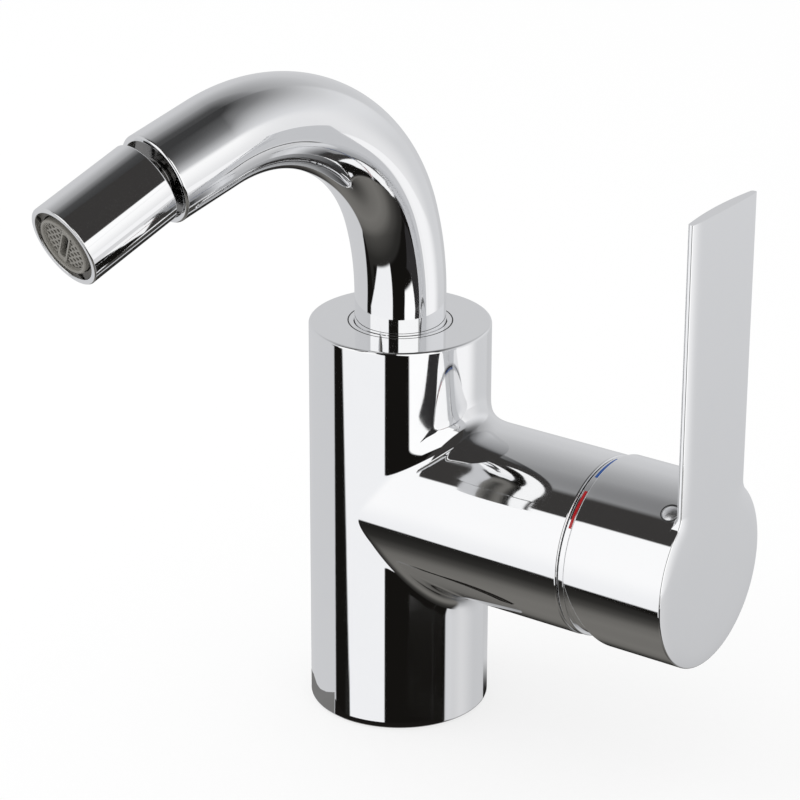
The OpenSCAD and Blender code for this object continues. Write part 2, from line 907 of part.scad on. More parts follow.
// Brass spigot brazed into the tube, with the grooves that run in the socket
module spout_spigot() {
    slot_margin = asin(lock_tip_r / lock_slot_floor_r) + 1.5;
    color(brass)
        difference() {
            union() {
                translate([0, 0, spigot_z])
                    cylinder(r = tube_r, h = tube_z - spigot_z);
                translate([0, 0, spigot_z])
                    cylinder(r = tube_in_r - fit_gap, h = tube_z - spigot_z + nipple_l);
            }
            translate([0, 0, spigot_z - 1])
                cylinder(r = spigot_bore_r, h = body_h);
            for (z = glide_z)
                translate([0, 0, z - fit_gap])
                    tube_ring(socket_r, glide_in_r - fit_gap, glide_h + 2 * fit_gap);
            for (z = seal_z)
                translate([0, 0, z - seal_r - 0.2])
                    tube_ring(socket_r, seal_centre_r - seal_r - fit_gap, 2 * seal_r + 0.4);
            translate([0, 0, lock_z - lock_tip_r - 0.2])
                rotate([0, 0, spout_turn + 90 - swivel - slot_margin])
                    rotate_extrude(angle = 2 * (swivel + slot_margin))
                        translate([lock_slot_floor_r, 0])
                            square([socket_r - lock_slot_floor_r, 2 * lock_tip_r + 0.4]);
        }
}

module spout_o_rings() {
    color(rubber)
        for (z = seal_z)
            translate([0, 0, z])
                o_ring(seal_centre_r, seal_r);
}

module spout_glide_rings() {
    color(white_plastic)
        for (z = glide_z)
            translate([0, 0, z])
                tube_ring(socket_r - run_gap, glide_in_r, glide_h);
}

// Bush in the spout's end, with the neck and the hollow ball
module ball_nipple() {
    color(chrome)
        at_ball()
            difference() {
                union() {
                    translate([0, 0, bush_end - bush_l])
                        cylinder(r = tube_in_r - fit_gap, h = bush_l);
                    translate([0, 0, bush_end - 1])
                        cylinder(d = ball_neck_d, h = 1 - bush_end);
                    sphere(ball_r);
                }
                translate([0, 0, bush_end - bush_l - 1])
                    cylinder(r = ball_bore_r, h = 3 * bush_l + ball_ahead);
                translate([0, 0, bush_end - bush_l / 2 - bush_seal_r - 0.1])
                    tube_ring(tube_r, bush_seal_floor, 2 * bush_seal_r + 0.2);
            }
}

module nipple_o_ring() {
    color(rubber)
        at_ball()
            translate([0, 0, bush_end - bush_l / 2])
                o_ring(bush_seal_floor + bush_seal_r + fit_gap, bush_seal_r);
}

// Spherical ring between ball and outlet: it pans on the ball, and the outlet tilts on it
module slip_ring() {
    color(black_plastic)
        at_ball()
            difference() {
                intersection() {
                    sphere(slip_out_r);
                    translate([0, 0, -slip_half])
                        cylinder(r = seat_r + 1, h = 2 * slip_half);
                }
                sphere(slip_in_r);
            }
}

module outlet_shell() {
    top_r = outlet_top_d / 2;
    end_r = outlet_end_d / 2;
    edge = 0.5;
    lip = 0.35;
    color(chrome)
        at_ball(outlet_tilt)
            difference() {
                rotate_extrude()
                    polygon([
                        [0, outlet_z0], [top_r - edge, outlet_z0], [top_r, outlet_z0 + edge],
                        [end_r, outlet_z1 - edge], [end_r - edge, outlet_z1], [0, outlet_z1]
                    ]);
                sphere(seat_r);
                cylinder(r = thread_r, h = outlet_l);
                translate([0, 0, outlet_z1 - lip])
                    cylinder(r1 = thread_r, r2 = thread_r + 2 * lip, h = 2 * lip);
            }
}

// Threaded ring that closes the ball's seat from below
module ball_retainer() {
    color(brass)
        at_ball(outlet_tilt)
            difference() {
                translate([0, 0, retainer_z0])
                    cylinder(r = aerator_r, h = retainer_z1 - retainer_z0);
                sphere(seat_r);
                cylinder(r = retainer_bore_r, h = outlet_l);
            }
}

module aerator_washer() {
    color(rubber)
        at_ball(outlet_tilt)
            translate([0, 0, retainer_z1])
                tube_ring(aerator_r, aerator_r - 2.2, washer_t);
}

// Threaded ring of the aerator, with notches for its key
module aerator_housing() {
    notches = 6;
    notch_w = 2;
    notch_depth = 1.2;
    notch_in = 0.7;
    in_r = aerator_r - aerator_wall;
    color(grey_plastic)
        at_ball(outlet_tilt)
            difference() {
                translate([0, 0, aerator_z0])
                    cylinder(r = aerator_r, h = aerator_z1 - aerator_z0);
                translate([0, 0, aerator_z0 - 1])
                    cylinder(r = in_r - ledge_w, h = outlet_l);
                translate([0, 0, aerator_z0 + ledge_t])
                    cylinder(r = in_r, h = outlet_l);
                for (i = [0:notches - 1])
                    rotate([0, 0, i * 360 / notches])
                        translate([aerator_r - notch_in, -notch_w / 2, aerator_z1 - notch_depth])
                            cube([2, notch_w, notch_depth + 1]);
            }
}

// Plate with a ring of fine jets, under the housing's ledge
module jet_plate() {
    jets = 12;
    jet_r = 0.6;
    jet_circle = 5;
    color(white_plastic)
        at_ball(outlet_tilt)
            translate([0, 0, aerator_z0 + ledge_t])
                difference() {
                    cylinder(r = grid_r, h = jet_t);
                    for (i = [0:jets - 1])
                        rotate([0, 0, i * 360 / jets])
                            translate([jet_circle, 0, -1])
                                cylinder(r = jet_r, h = jet_t + 2, $fn = 24);
                }
}

// Cup with the honeycomb in its floor, and a coin slot across it
module aerator_grid() {
    cup_z = aerator_z0 + ledge_t + jet_t;
    pitch = cell_w + cell_wall;
    reach = grid_r - grid_rim - pitch / 2;
    rows = ceil(reach / pitch) + 1;
    color(grey_plastic)
        at_ball(outlet_tilt)
            difference() {
                translate([0, 0, cup_z])
                    cylinder(r = grid_r, h = aerator_z1 - cup_z);
                translate([0, 0, cup_z - 1])
                    cylinder(r = grid_r - grid_rim, h = aerator_z1 - grid_t - cup_z + 1);
                translate([-reach, -coin_slot_w / 2, aerator_z1 - coin_slot_depth])
                    cube([2 * reach, coin_slot_w, coin_slot_depth + 1]);
                for (j = [-rows:rows], i = [-rows:rows]) {
                    x = (i + (j % 2 == 0 ? 0 : 0.5)) * pitch;
                    y = j * pitch * cos(30);
                    if (norm([x, y]) < reach && abs(y) > coin_slot_w / 2 + pitch * 0.4)
                        translate([x, y, aerator_z1 - grid_t - 1])
                            rotate([0, 0, 30])
                                cylinder(d = cell_w / cos(30), h = grid_t + 2, $fn = 6);
                }
            }
}

body_casting();
base_gasket();
cartridge_base();
base_port_seals();
fixed_disc();
disc_port_seals();
cartridge_housing();
cartridge_nut();
indicator_ring();
hot_mark();
cold_mark();
spout_thrust_ring();
spout_lock_screw();
rotor();
pivot_pin();
moving_disc();
disc_carrier();
stem();
stem_sleeve();
handle();
grub_screw();
grub_plug();
spout_tube();
spout_spigot();
spout_o_rings();
spout_glide_rings();
ball_nipple();
nipple_o_ring();
slip_ring();
outlet_shell();
ball_retainer();
aerator_washer();
aerator_housing();
jet_plate();
aerator_grid();
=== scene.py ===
"""Looks of the bidet mixer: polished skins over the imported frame, finishes, studio light and camera."""
import json
import math

import bpy
import numpy as np
from mathutils import Matrix, Vector
from mathutils.geometry import tessellate_polygon

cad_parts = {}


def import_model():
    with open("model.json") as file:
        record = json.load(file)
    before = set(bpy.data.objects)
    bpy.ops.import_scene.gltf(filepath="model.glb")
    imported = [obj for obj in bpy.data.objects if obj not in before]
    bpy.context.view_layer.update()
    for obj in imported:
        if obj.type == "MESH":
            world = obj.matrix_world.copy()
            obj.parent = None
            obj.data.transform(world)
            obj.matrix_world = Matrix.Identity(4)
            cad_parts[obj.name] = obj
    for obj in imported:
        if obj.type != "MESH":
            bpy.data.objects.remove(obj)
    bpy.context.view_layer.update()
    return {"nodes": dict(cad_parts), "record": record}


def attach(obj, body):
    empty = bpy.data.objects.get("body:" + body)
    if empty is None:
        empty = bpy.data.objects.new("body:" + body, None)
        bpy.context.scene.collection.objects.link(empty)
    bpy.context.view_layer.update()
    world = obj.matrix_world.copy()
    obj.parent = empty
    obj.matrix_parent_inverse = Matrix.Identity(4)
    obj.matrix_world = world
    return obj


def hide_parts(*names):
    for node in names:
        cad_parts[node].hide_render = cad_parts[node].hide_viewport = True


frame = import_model()
scene = bpy.context.scene

# Sizes in millimetres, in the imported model's frame
MM = 0.001
JOINS_PER_MM = 1e4
BODY_R, BODY_H, BODY_EDGE = 23.0, 103.6, 0.7
BARREL_R, BARREL_Z, BARREL_END, BARREL_EDGE = 22.8, 58.2, 62.0, 0.6
BLEND_R = 7.8
SOCKET_R, SOCKET_FLOOR, COLLAR_R = 12.0, 79.6, 13.1
SEAT_R, SEAT_X, WELL_R, WELL_X = 19.55, 51.0, 17.6, 30.0
LOCK_Z, LOCK_R, LOCK_DEPTH, LOCK_MARGIN, LOCK_WINDOW = 92.15, 2.42, 4.5, 0.4, (77.9, 101.9)
GROOVE_IN, GROOVE_OUT, GROOVE_H = 18.3, 20.9, 2.0
BASE_HOLES = [(6.0, -8.0, 4.5, 12.0), (6.0, 8.0, 4.5, 12.0), (-10.0, 0.0, 3.4, 14.0)]
TUBE_R, TUBE_IN_R, TUBE_LIP, TUBE_Z = 11.5, 10.0, 0.7, 99.6
SPOUT_TURN, RISE_END = -13.2, 110.6
LEAD_R, LEAD_ANGLE, BEND_R, BEND_ANGLE, TAIL_L = 77.0, 17.0, 44.6, 90.0, 17.8
BALL_AHEAD, BALL_R, OUTLET_DIP = 8.0, 8.2, 5.7
RING_R, RING_X, RING_W = 22.6, 62.25, 1.65
CAP_R, CAP_IN_R, CAP_X, FACE_X, CAP_EDGE, FACE_WALL = 23.5, 22.3, 64.2, 91.8, 0.5, 4.0
# Terms of the face's fall towards its border: depth, reach, power
CROWN = [(0.22, 5.0, 3), (0.16, 12.0, 2)]
RELIEF = 18.5
LEVER_HALF, LEVER_TOP, LEVER_T, LEVER_EDGE, LEVER_FILLET = 14.8, 93.5, 2.9, 1.8, 4.4
FOOT_R = 0.8
PLUG_X, PLUG_ANGLE, PLUG_R, PLUG_TOP = 87.0, 32.0, 2.3, 23.85
MOUTH_Z, SLOT_TURN, CELL_W, CELL_H = 20.13, math.radians(-37.0), 1.45, 2.1

# The photograph's view: angles in degrees, distances in millimetres, focal length in pixels
CAMERA_AZIMUTH, CAMERA_RISE, CAMERA_ROLL = 35.08, 22.66, 0.18
CAMERA_AWAY, CAMERA_RIGHT, CAMERA_UP, AIM_Z = 837.29, 0.04, 20.06, 60.0
FOCAL_PX, FRAME_PX, SENSOR_MM = 3274.44, 800, 36.0


def unit(v):
    """Vectors divided by their lengths."""
    v = np.asarray(v, float)
    return v / np.maximum(np.linalg.norm(v, axis=-1, keepdims=True), 1e-12)


def line(a, b, n=2):
    """Points spread evenly from a to b."""
    t = np.linspace(0, 1, n)[:, None]
    return np.asarray(a, float) * (1 - t) + np.asarray(b, float) * t


def pairs(a, b):
    """Points [a, b], a single value going with all of the other's."""
    return np.stack(np.broadcast_arrays(a, b), -1)


def arc(centre, radius, start, end, n=9):
    """Points on a circle about centre, from the start angle to the end angle in degrees."""
    t = np.radians(np.linspace(start, end, n))
    return np.asarray(centre, float) + radius * pairs(np.cos(t), np.sin(t))


def straight(*points):
    """Straight profile segments from each point to the next."""
    return [line(p, q) for p, q in zip(points, points[1:])]


def square_ring(r0, r1, z0, z1):
    """Profile of a ring of square section between two radii and two heights."""
    return straight((r1, z0), (r1, z1), (r0, z1), (r0, z0), (r1, z0))


def full_turn(n):
    """Angles once round, the first and the last at the same place."""
    return np.linspace(-math.pi, math.pi, n)


class Place:
    """A local frame: an origin and three axes given as the rows of a matrix."""

    def __init__(self, origin, axes):
        self.origin, self.axes = np.asarray(origin, float), np.asarray(axes, float)

    def points(self, p):
        return self.origin + p @ self.axes

    def directions(self, v):
        return v @ self.axes


turn = math.radians(SPOUT_TURN)
FORWARD = np.array([math.sin(turn), -math.cos(turn), 0.0])
UP = np.array([0.0, 0.0, 1.0])
SIDE = np.cross(UP, FORWARD)
UPRIGHT = Place((0, 0, 0), np.eye(3))
BARREL = Place((0, 0, BARREL_Z), [(0, 1, 0), (0, 0, 1), (1, 0, 0)])


def heading_axes(degrees):
    """Axes of a rod in the spout's plane that leans forward by this angle: across, sideways, along."""
    h = math.radians(degrees)
    return [FORWARD * math.cos(h) - UP * math.sin(h), SIDE, FORWARD * math.sin(h) + UP * math.cos(h)]


def spout_line():
    """Centreline of the spout as [forward, up, lean]: a rise, a wide arc, the bend and a straight tail."""
    rise = np.stack([np.zeros(7), np.linspace(TUBE_Z, RISE_END, 7), np.zeros(7)], 1)
    a = np.radians(np.linspace(0, LEAD_ANGLE, 18)[1:])
    lead = np.stack([LEAD_R * (1 - np.cos(a)), RISE_END + LEAD_R * np.sin(a), a], 1)
    centre = lead[-1, :2] + BEND_R * np.array([math.cos(a[-1]), -math.sin(a[-1])])
    b = np.radians(np.linspace(LEAD_ANGLE, LEAD_ANGLE + BEND_ANGLE, 91)[1:])
    bend = np.stack([centre[0] - BEND_R * np.cos(b), centre[1] + BEND_R * np.sin(b), b], 1)
    t = np.linspace(0, TAIL_L, 10)[1:]
    end = b[-1]
    tail = np.stack([bend[-1, 0] + t * math.sin(end), bend[-1, 1] + t * math.cos(end), 0 * t + end], 1)
    return np.concatenate([rise, lead, bend, tail])


SPOUT = spout_line()
HEADING = LEAD_ANGLE + BEND_ANGLE
TAIL_END = FORWARD * SPOUT[-1, 0] + UP * SPOUT[-1, 1]
BALL_AT = TAIL_END + BALL_AHEAD * np.array(heading_axes(HEADING)[2])
BALL = Place(BALL_AT, heading_axes(HEADING))
OUTLET = Place(BALL_AT, heading_axes(HEADING + OUTLET_DIP))


def quads(rows, columns):
    """Two triangles for each cell of a grid whose points are numbered row by row."""
    n = np.arange(rows * columns).reshape(rows, columns)
    a, b, c, d = n[:-1, :-1], n[:-1, 1:], n[1:, 1:], n[1:, :-1]
    return np.concatenate([np.stack(t, -1).reshape(-1, 3) for t in ((a, b, c), (a, c, d))])


def new_object(name, points, facets, finish):
    """An object with this finish, from points in millimetres and facets of point numbers."""
    mesh = bpy.data.meshes.new(name)
    mesh.from_pydata((points * MM).tolist(), [], facets.tolist())
    mesh.materials.append(finish)
    obj = bpy.data.objects.new(name, mesh)
    scene.collection.objects.link(obj)
    return obj


class Skin:
    """Patches of one piece, with the true surface normal at each corner of each facet."""

    def __init__(self):
        self.points, self.corners, self.normals, self.count = [], [], [], 0

    def keep(self, points, normals, facets):
        self.points.append(points.reshape(-1, 3))
        self.corners.append(facets + self.count)
        self.normals.append(normals.reshape(-1, 3)[facets])
        self.count += points.size // 3

    def patch(self, grid, out, normals=None):
        """A grid of points [row, column] becomes facets. The normal is the cross product of the slopes along
        columns and rows, and out tells which side of the grid lies outside."""
        if normals is None:
            slope = [np.gradient(grid, axis=k, edge_order=2 if grid.shape[k] > 2 else 1) for k in (0, 1)]
            normals = unit(np.cross(slope[1], slope[0]))
        out = np.broadcast_to(np.asarray(out, float), grid.shape)
        turned = np.cross(grid[:-1, 1:] - grid[:-1, :-1], grid[1:, :-1] - grid[:-1, :-1])
        inward = np.sum(turned * out[:-1, :-1]) < 0
        if np.sum(normals * out) < 0:
            normals = -normals
        facets = quads(*grid.shape[:2])
        self.keep(grid, normals, facets[:, ::-1] if inward else facets)

    def lathe(self, segments, place=UPRIGHT, angles=None):
        """Profile segments of [radius, height] turned about the local z axis. The profile runs with the solid
        on its left, up the outside and down the bore, so the normal is the slope turned a quarter to the right."""
        angles = full_turn(145) if angles is None else angles
        c, s = np.cos(angles), np.sin(angles)
        for profile in segments:
            r, h = profile[:, :1], profile[:, 1:]
            slope = unit(np.gradient(profile, axis=0, edge_order=2 if len(profile) > 2 else 1))
            nr, nh = slope[:, 1:], -slope[:, :1]
            grid = place.points(np.stack([r * c, r * s, h + 0 * c], -1))
            normals = place.directions(np.stack([nr * c, nr * s, nh + 0 * c], -1))
            facets = quads(*grid.shape[:2])
            handed = np.linalg.det(place.axes) * (angles[-1] - angles[0])
            self.keep(grid, normals, facets if handed > 0 else facets[:, ::-1])

    def flat(self, loops, out):
        """A flat face inside the first loop of points and outside the others."""
        points = np.concatenate(loops)
        facets = np.array(tessellate_polygon([[Vector(p) for p in loop] for loop in loops]))
        p = points[facets]
        inward = np.cross(p[:, 1] - p[:, 0], p[:, 2] - p[:, 0]) @ np.asarray(out, float) < 0
        facets[inward] = facets[inward][:, ::-1]
        self.keep(points, np.tile(unit(out), (len(points), 1)), facets)

    def facet(self, points, facets):
        """Flat facets, each with its own normal: the cross product of its first two sides."""
        p = points[facets]
        normals = unit(np.cross(p[:, 1] - p[:, 0], p[:, 2] - p[:, 0]))
        self.keep(p, np.repeat(normals, 3, 0), np.arange(p.size // 3).reshape(-1, 3))

    def piece(self, name, body, slot, finish, *nodes):
        """Joins the patches where their points meet, makes the mesh and sets it on its body for the nodes."""
        points, corners, normals = (np.concatenate(v) for v in (self.points, self.corners, self.normals))
        keys = np.round(points * JOINS_PER_MM).astype(np.int64)
        _, first, same = np.unique(keys, axis=0, return_index=True, return_inverse=True)
        corners = same.reshape(-1)[corners]
        whole = np.all(corners != np.roll(corners, 1, axis=1), axis=1)
        obj = new_object(name, points[first], corners[whole], finish)
        obj.data.shade_smooth()
        obj.data.normals_split_custom_set(normals[whole].reshape(-1, 3).tolist())
        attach(obj, body)
        if nodes:
            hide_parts(*nodes)


# Shader nodes
def add(tree, kind, inputs=(), **settings):
    """A node with its settings; each input is a plain value or another node's output."""
    node = tree.nodes.new(kind)
    for key, value in settings.items():
        setattr(node, key, value)
    for key, value in dict(inputs).items():
        if isinstance(value, bpy.types.NodeSocket):
            tree.links.new(value, node.inputs[key])
        else:
            node.inputs[key].default_value = value
    return node


def math_node(tree, operation, *values):
    """Output of one arithmetic step."""
    return add(tree, "ShaderNodeMath", dict(enumerate(values)), operation=operation).outputs[0]


def mixed(tree, factor, a, b):
    """Colour that goes from a to b with the factor."""
    return add(tree, "ShaderNodeMix", {"Factor": factor, "A": a, "B": b}, data_type="RGBA").outputs["Result"]


def noise(tree, place, scale, detail, roughness=0.5):
    """Value of a noise pattern."""
    inputs = {"Vector": place, "Scale": scale, "Detail": detail, "Roughness": roughness}
    return add(tree, "ShaderNodeTexNoise", inputs).outputs["Fac"]


def group(name, inputs, outputs):
    """An empty shader group with named sockets: inputs with their usual values, and value outputs."""
    tree = bpy.data.node_groups.new(name, "ShaderNodeTree")
    for label, value in inputs.items():
        tree.interface.new_socket(label, in_out="INPUT", socket_type="NodeSocketFloat").default_value = value
    for label in outputs:
        tree.interface.new_socket(label, in_out="OUTPUT", socket_type="NodeSocketFloat")
    return tree, tree.nodes.new("NodeGroupInput").outputs, tree.nodes.new("NodeGroupOutput").inputs


def handled_group():
    """Traces of handling: broad smudges and fine wipe marks that vary the gloss, and a slight ripple of the
    ground metal."""
    usual = {"Gloss": 0.04, "Smudge": 0.04, "Size": 60.0}
    tree, given, made = group("handled", usual, ["Roughness", "Ripple"])
    place = add(tree, "ShaderNodeTexCoord").outputs["Object"]
    smudge = noise(tree, place, given["Size"], 5.0, 0.6)
    stretch = {"Vector": place, "Scale": (1.0, 1.0, 0.06), "Rotation": (0.3, 0.2, 0.0)}
    wipe = noise(tree, add(tree, "ShaderNodeMapping", stretch).outputs[0], 1800.0, 3.0)
    spread = {"Value": smudge, "From Min": 0.48, "From Max": 0.75}
    worn = math_node(tree, "MULTIPLY", add(tree, "ShaderNodeMapRange", spread).outputs[0], wipe)
    rough = math_node(tree, "MULTIPLY_ADD", worn, given["Smudge"], given["Gloss"])
    tree.links.new(rough, made["Roughness"])
    tree.links.new(noise(tree, place, 55.0, 1.0), made["Ripple"])
    return tree


def speckle_group():
    """Fine speckle and broad cloudiness of moulded or cast stuff, as two values from 0 to 1."""
    tree, given, made = group("speckle", {"Grain": 2500.0, "Cloud": 120.0}, ["Grain", "Cloud"])
    place = add(tree, "ShaderNodeTexCoord").outputs["Object"]
    for label, detail in (("Grain", 3.0), ("Cloud", 4.0)):
        tree.links.new(noise(tree, place, given[label], detail), made[label])
    return tree


HANDLED, SPECKLE = handled_group(), speckle_group()


def new_finish(name):
    """A material with its shader, ready to be joined up."""
    finish = bpy.data.materials.new(name)
    finish.use_nodes = True
    tree = finish.node_tree
    return finish, tree, tree.nodes["Principled BSDF"]


def dress(tree, shader, tone, rough, strength, distance, height):
    """Joins tone and roughness to the shader, and a bump of this strength, distance and height."""
    bump = add(tree, "ShaderNodeBump", {"Strength": strength, "Distance": distance, "Height": height})
    for output, socket in ((tone, "Base Color"), (rough, "Roughness"), (bump.outputs[0], "Normal")):
        tree.links.new(output, shader.inputs[socket])


def metal(name, bright, dull, gloss, smudge, ripple):
    """A metal whose tone drifts slightly between bright and dull, with smudged gloss and a faint ripple."""
    finish, tree, shader = new_finish(name)
    marks = add(tree, "ShaderNodeGroup", {"Gloss": gloss, "Smudge": smudge}, node_tree=HANDLED).outputs
    cloud = add(tree, "ShaderNodeGroup", node_tree=SPECKLE).outputs["Cloud"]
    shader.inputs["Metallic"].default_value = 1.0
    dress(tree, shader, mixed(tree, cloud, bright, dull), marks["Roughness"], ripple, 0.5 * MM, marks["Ripple"])
    return finish


def moulded(name, light, deep, gloss, grain, bump_mm):
    """A moulded or ceramic stuff: two tones mixed by cloudiness, gloss varied by fine grain, and a fine bump."""
    finish, tree, shader = new_finish(name)
    cloud = add(tree, "ShaderNodeGroup", {"Grain": grain}, node_tree=SPECKLE).outputs
    rough = math_node(tree, "MULTIPLY_ADD", cloud["Grain"], 0.15, gloss)
    dress(tree, shader, mixed(tree, cloud["Cloud"], light, deep), rough, 0.4, bump_mm * MM, cloud["Grain"])
    return finish


CHROME = metal("chrome_plate", (0.93, 0.932, 0.936, 1), (0.915, 0.918, 0.925, 1), 0.035, 0.05, 0.02)
# Painted shade: chrome darkened to stand in for the shade in the narrow gap where the ball nipple sits.
PAINTED_SHADE_CHROME = metal("painted_shade_chrome", (0.27, 0.265, 0.26, 1), (0.20, 0.196, 0.19, 1), 0.12, 0.10, 0.02)
SATIN = metal("satin_chrome", (0.90, 0.905, 0.915, 1), (0.82, 0.825, 0.84, 1), 0.30, 0.06, 0.02)
BRASS = metal("bare_brass", (0.78, 0.60, 0.30, 1), (0.66, 0.49, 0.22, 1), 0.22, 0.2, 0.15)
STEEL = metal("steel_screw", (0.62, 0.63, 0.65, 1), (0.48, 0.49, 0.51, 1), 0.28, 0.2, 0.15)
RUBBER = moulded("black_rubber", (0.020, 0.020, 0.021, 1), (0.035, 0.034, 0.033, 1), 0.55, 2200.0, 0.02)
WHITE = moulded("white_plastic", (0.80, 0.80, 0.78, 1), (0.72, 0.72, 0.69, 1), 0.35, 1800.0, 0.01)
BLACK = moulded("black_plastic", (0.030, 0.030, 0.030, 1), (0.045, 0.044, 0.043, 1), 0.35, 1800.0, 0.01)
GREY = moulded("grey_plastic", (0.125, 0.118, 0.105, 1), (0.085, 0.080, 0.072, 1), 0.35, 2000.0, 0.02)
INSERT = moulded("insert_plastic", (0.27, 0.26, 0.235, 1), (0.21, 0.20, 0.18, 1), 0.4, 2000.0, 0.02)
CERAMIC = moulded("ceramic_disc", (0.85, 0.84, 0.81, 1), (0.80, 0.78, 0.75, 1), 0.12, 3000.0, 0.005)
RED = moulded("red_enamel", (0.42, 0.006, 0.010, 1), (0.34, 0.004, 0.008, 1), 0.12, 1500.0, 0.005)
BLUE = moulded("blue_enamel", (0.012, 0.085, 0.33, 1), (0.010, 0.065, 0.27, 1), 0.12, 1500.0, 0.005)
FINISHES = {"chrome_plate": CHROME, "bare_brass": BRASS, "steel_screw": STEEL, "black_rubber": RUBBER,
            "white_plastic": WHITE, "black_plastic": BLACK, "grey_plastic": GREY, "ceramic_disc": CERAMIC,
            "red_enamel": RED, "blue_enamel": BLUE}


# Pieces
def body_skin():
    """The casting. A ball rolled round the barrel touches both cylinders: its centre is
    (sqrt((Ra + q)^2 - y^2), y, z) on a circle of radius Rb + q about the barrel. The blend is a Bezier curve of
    degree five between the two touching points, drawn towards the crossing of their tangents, so that its bend
    begins and ends at nothing. The body's lower wall runs from the blend's edge to a window in angle and height,
    joined by straight lines in those two."""
    skin = Skin()
    split = LOCK_Z - LOCK_R - LOCK_MARGIN
    girth = math.pi * BODY_R
    theta = np.linspace(0, math.pi, 121)
    rise = np.linspace(split, BODY_EDGE, 41)
    half = np.concatenate([
        np.arctan2(theta * BODY_R, split - BARREL_Z),
        np.arctan2(girth, rise - BARREL_Z)[1:-1],
        np.arctan2(theta[::-1] * BODY_R, BODY_EDGE - BARREL_Z)])
    window = np.concatenate([pairs(theta, split), pairs(math.pi, rise)[1:-1], pairs(theta[::-1], BODY_EDGE)])
    a = np.concatenate([-half[:0:-1], half])
    window = np.concatenate([window[:0:-1] * (-1, 1), window])

    y, z = (BARREL_R + BLEND_R) * np.sin(a), (BARREL_R + BLEND_R) * np.cos(a)
    centre = np.stack([np.sqrt((BODY_R + BLEND_R) ** 2 - y * y), y, z], 1)
    to_body = -centre * (1, 1, 0) / (BODY_R + BLEND_R)
    to_barrel = -centre * (0, 1, 1) / (BARREL_R + BLEND_R)
    corner = centre + BLEND_R * (to_body + to_barrel) / (1 + np.sum(to_body * to_barrel, 1, keepdims=True))
    first, last = centre + BLEND_R * to_body, centre + BLEND_R * to_barrel
    near, far = 0.4, 0.8
    hull = [first, first + near * (corner - first), first + far * (corner - first),
            last + far * (corner - last), last + near * (corner - last), last]
    t = np.linspace(0, 1, 25)[:, None, None]
    curve = sum(math.comb(5, k) * t ** k * (1 - t) ** (5 - k) * p for k, p in enumerate(hull))
    slope = sum(5 * math.comb(4, k) * t ** k * (1 - t) ** (4 - k) * (q - p)
                for k, (p, q) in enumerate(zip(hull, hull[1:])))
    normals = unit(np.cross(slope, np.gradient(curve, axis=1, edge_order=2)))
    normals = normals * np.sign(-np.sum(normals * (to_body + to_barrel), -1, keepdims=True))
    normals[0], normals[-1] = -to_body, -to_barrel
    lift = np.array([0, 0, BARREL_Z])
    skin.patch(curve + lift, normals, normals)

    hole = pairs(np.arctan2(first[:, 1], first[:, 0]), first[:, 2] + BARREL_Z)
    skin.patch(*on_body(hole * (1 - t) + window * t))

    t = np.linspace(0, 1, 13)[:, None]
    x = centre[:, 0] * (1 - t) + (BARREL_END - BARREL_EDGE) * t
    round_barrel = np.stack([0 * x, np.sin(a) + 0 * x, np.cos(a) + 0 * x], -1)
    skin.patch(np.stack([x, 0 * x, 0 * x], -1) + BARREL_R * round_barrel + lift, round_barrel, round_barrel)
    rim_r = BARREL_R - BARREL_EDGE
    skin.lathe([arc((rim_r, BARREL_END - BARREL_EDGE), BARREL_EDGE, 0, 90),
                *straight((rim_r, BARREL_END), (SEAT_R, BARREL_END), (SEAT_R, SEAT_X), (WELL_R, SEAT_X),
                          (WELL_R, WELL_X), (0.0, WELL_X))], BARREL, math.pi / 2 - a)

    # Upper band, with a window round the lock screw's hole on the back
    round_body = np.concatenate([-theta[:0:-1], theta])
    top = BODY_H - BODY_EDGE
    levels = np.linspace(split, top, 9)
    low, high = np.searchsorted(round_body, np.radians(LOCK_WINDOW))
    for columns in (round_body[:low + 1], round_body[high:]):
        skin.patch(*on_body(np.stack(np.meshgrid(columns, levels), -1)))
    columns = round_body[low:high + 1]
    rim = np.concatenate([pairs(columns, split)[:-1], pairs(columns[-1], levels)[:-1],
                          pairs(columns, top)[:0:-1], pairs(columns[0], levels)[::-1]])
    b = np.arctan2(rim[:, 1] - LOCK_Z, (rim[:, 0] - math.pi / 2) * BODY_R)
    across = np.arcsin(LOCK_R * np.cos(b) / BODY_R)
    mouth = pairs(math.pi / 2 + across, LOCK_Z + LOCK_R * np.sin(b))
    t = np.linspace(0, 1, 9)[:, None, None]
    skin.patch(*on_body(mouth * (1 - t) + rim * t))
    outer = on_body(mouth[None])[0][0]
    inner = outer * (1, 0, 1) + (0, BODY_R - LOCK_DEPTH, 0)
    to_axis = (np.array([0, 0, LOCK_Z]) - outer) * (1, 0, 1) / LOCK_R + np.zeros((3, 1, 1))
    skin.patch(line(outer.ravel(), inner.ravel(), 3).reshape(3, -1, 3), to_axis, to_axis)
    skin.flat([inner[:-1]], (0, 1, 0))

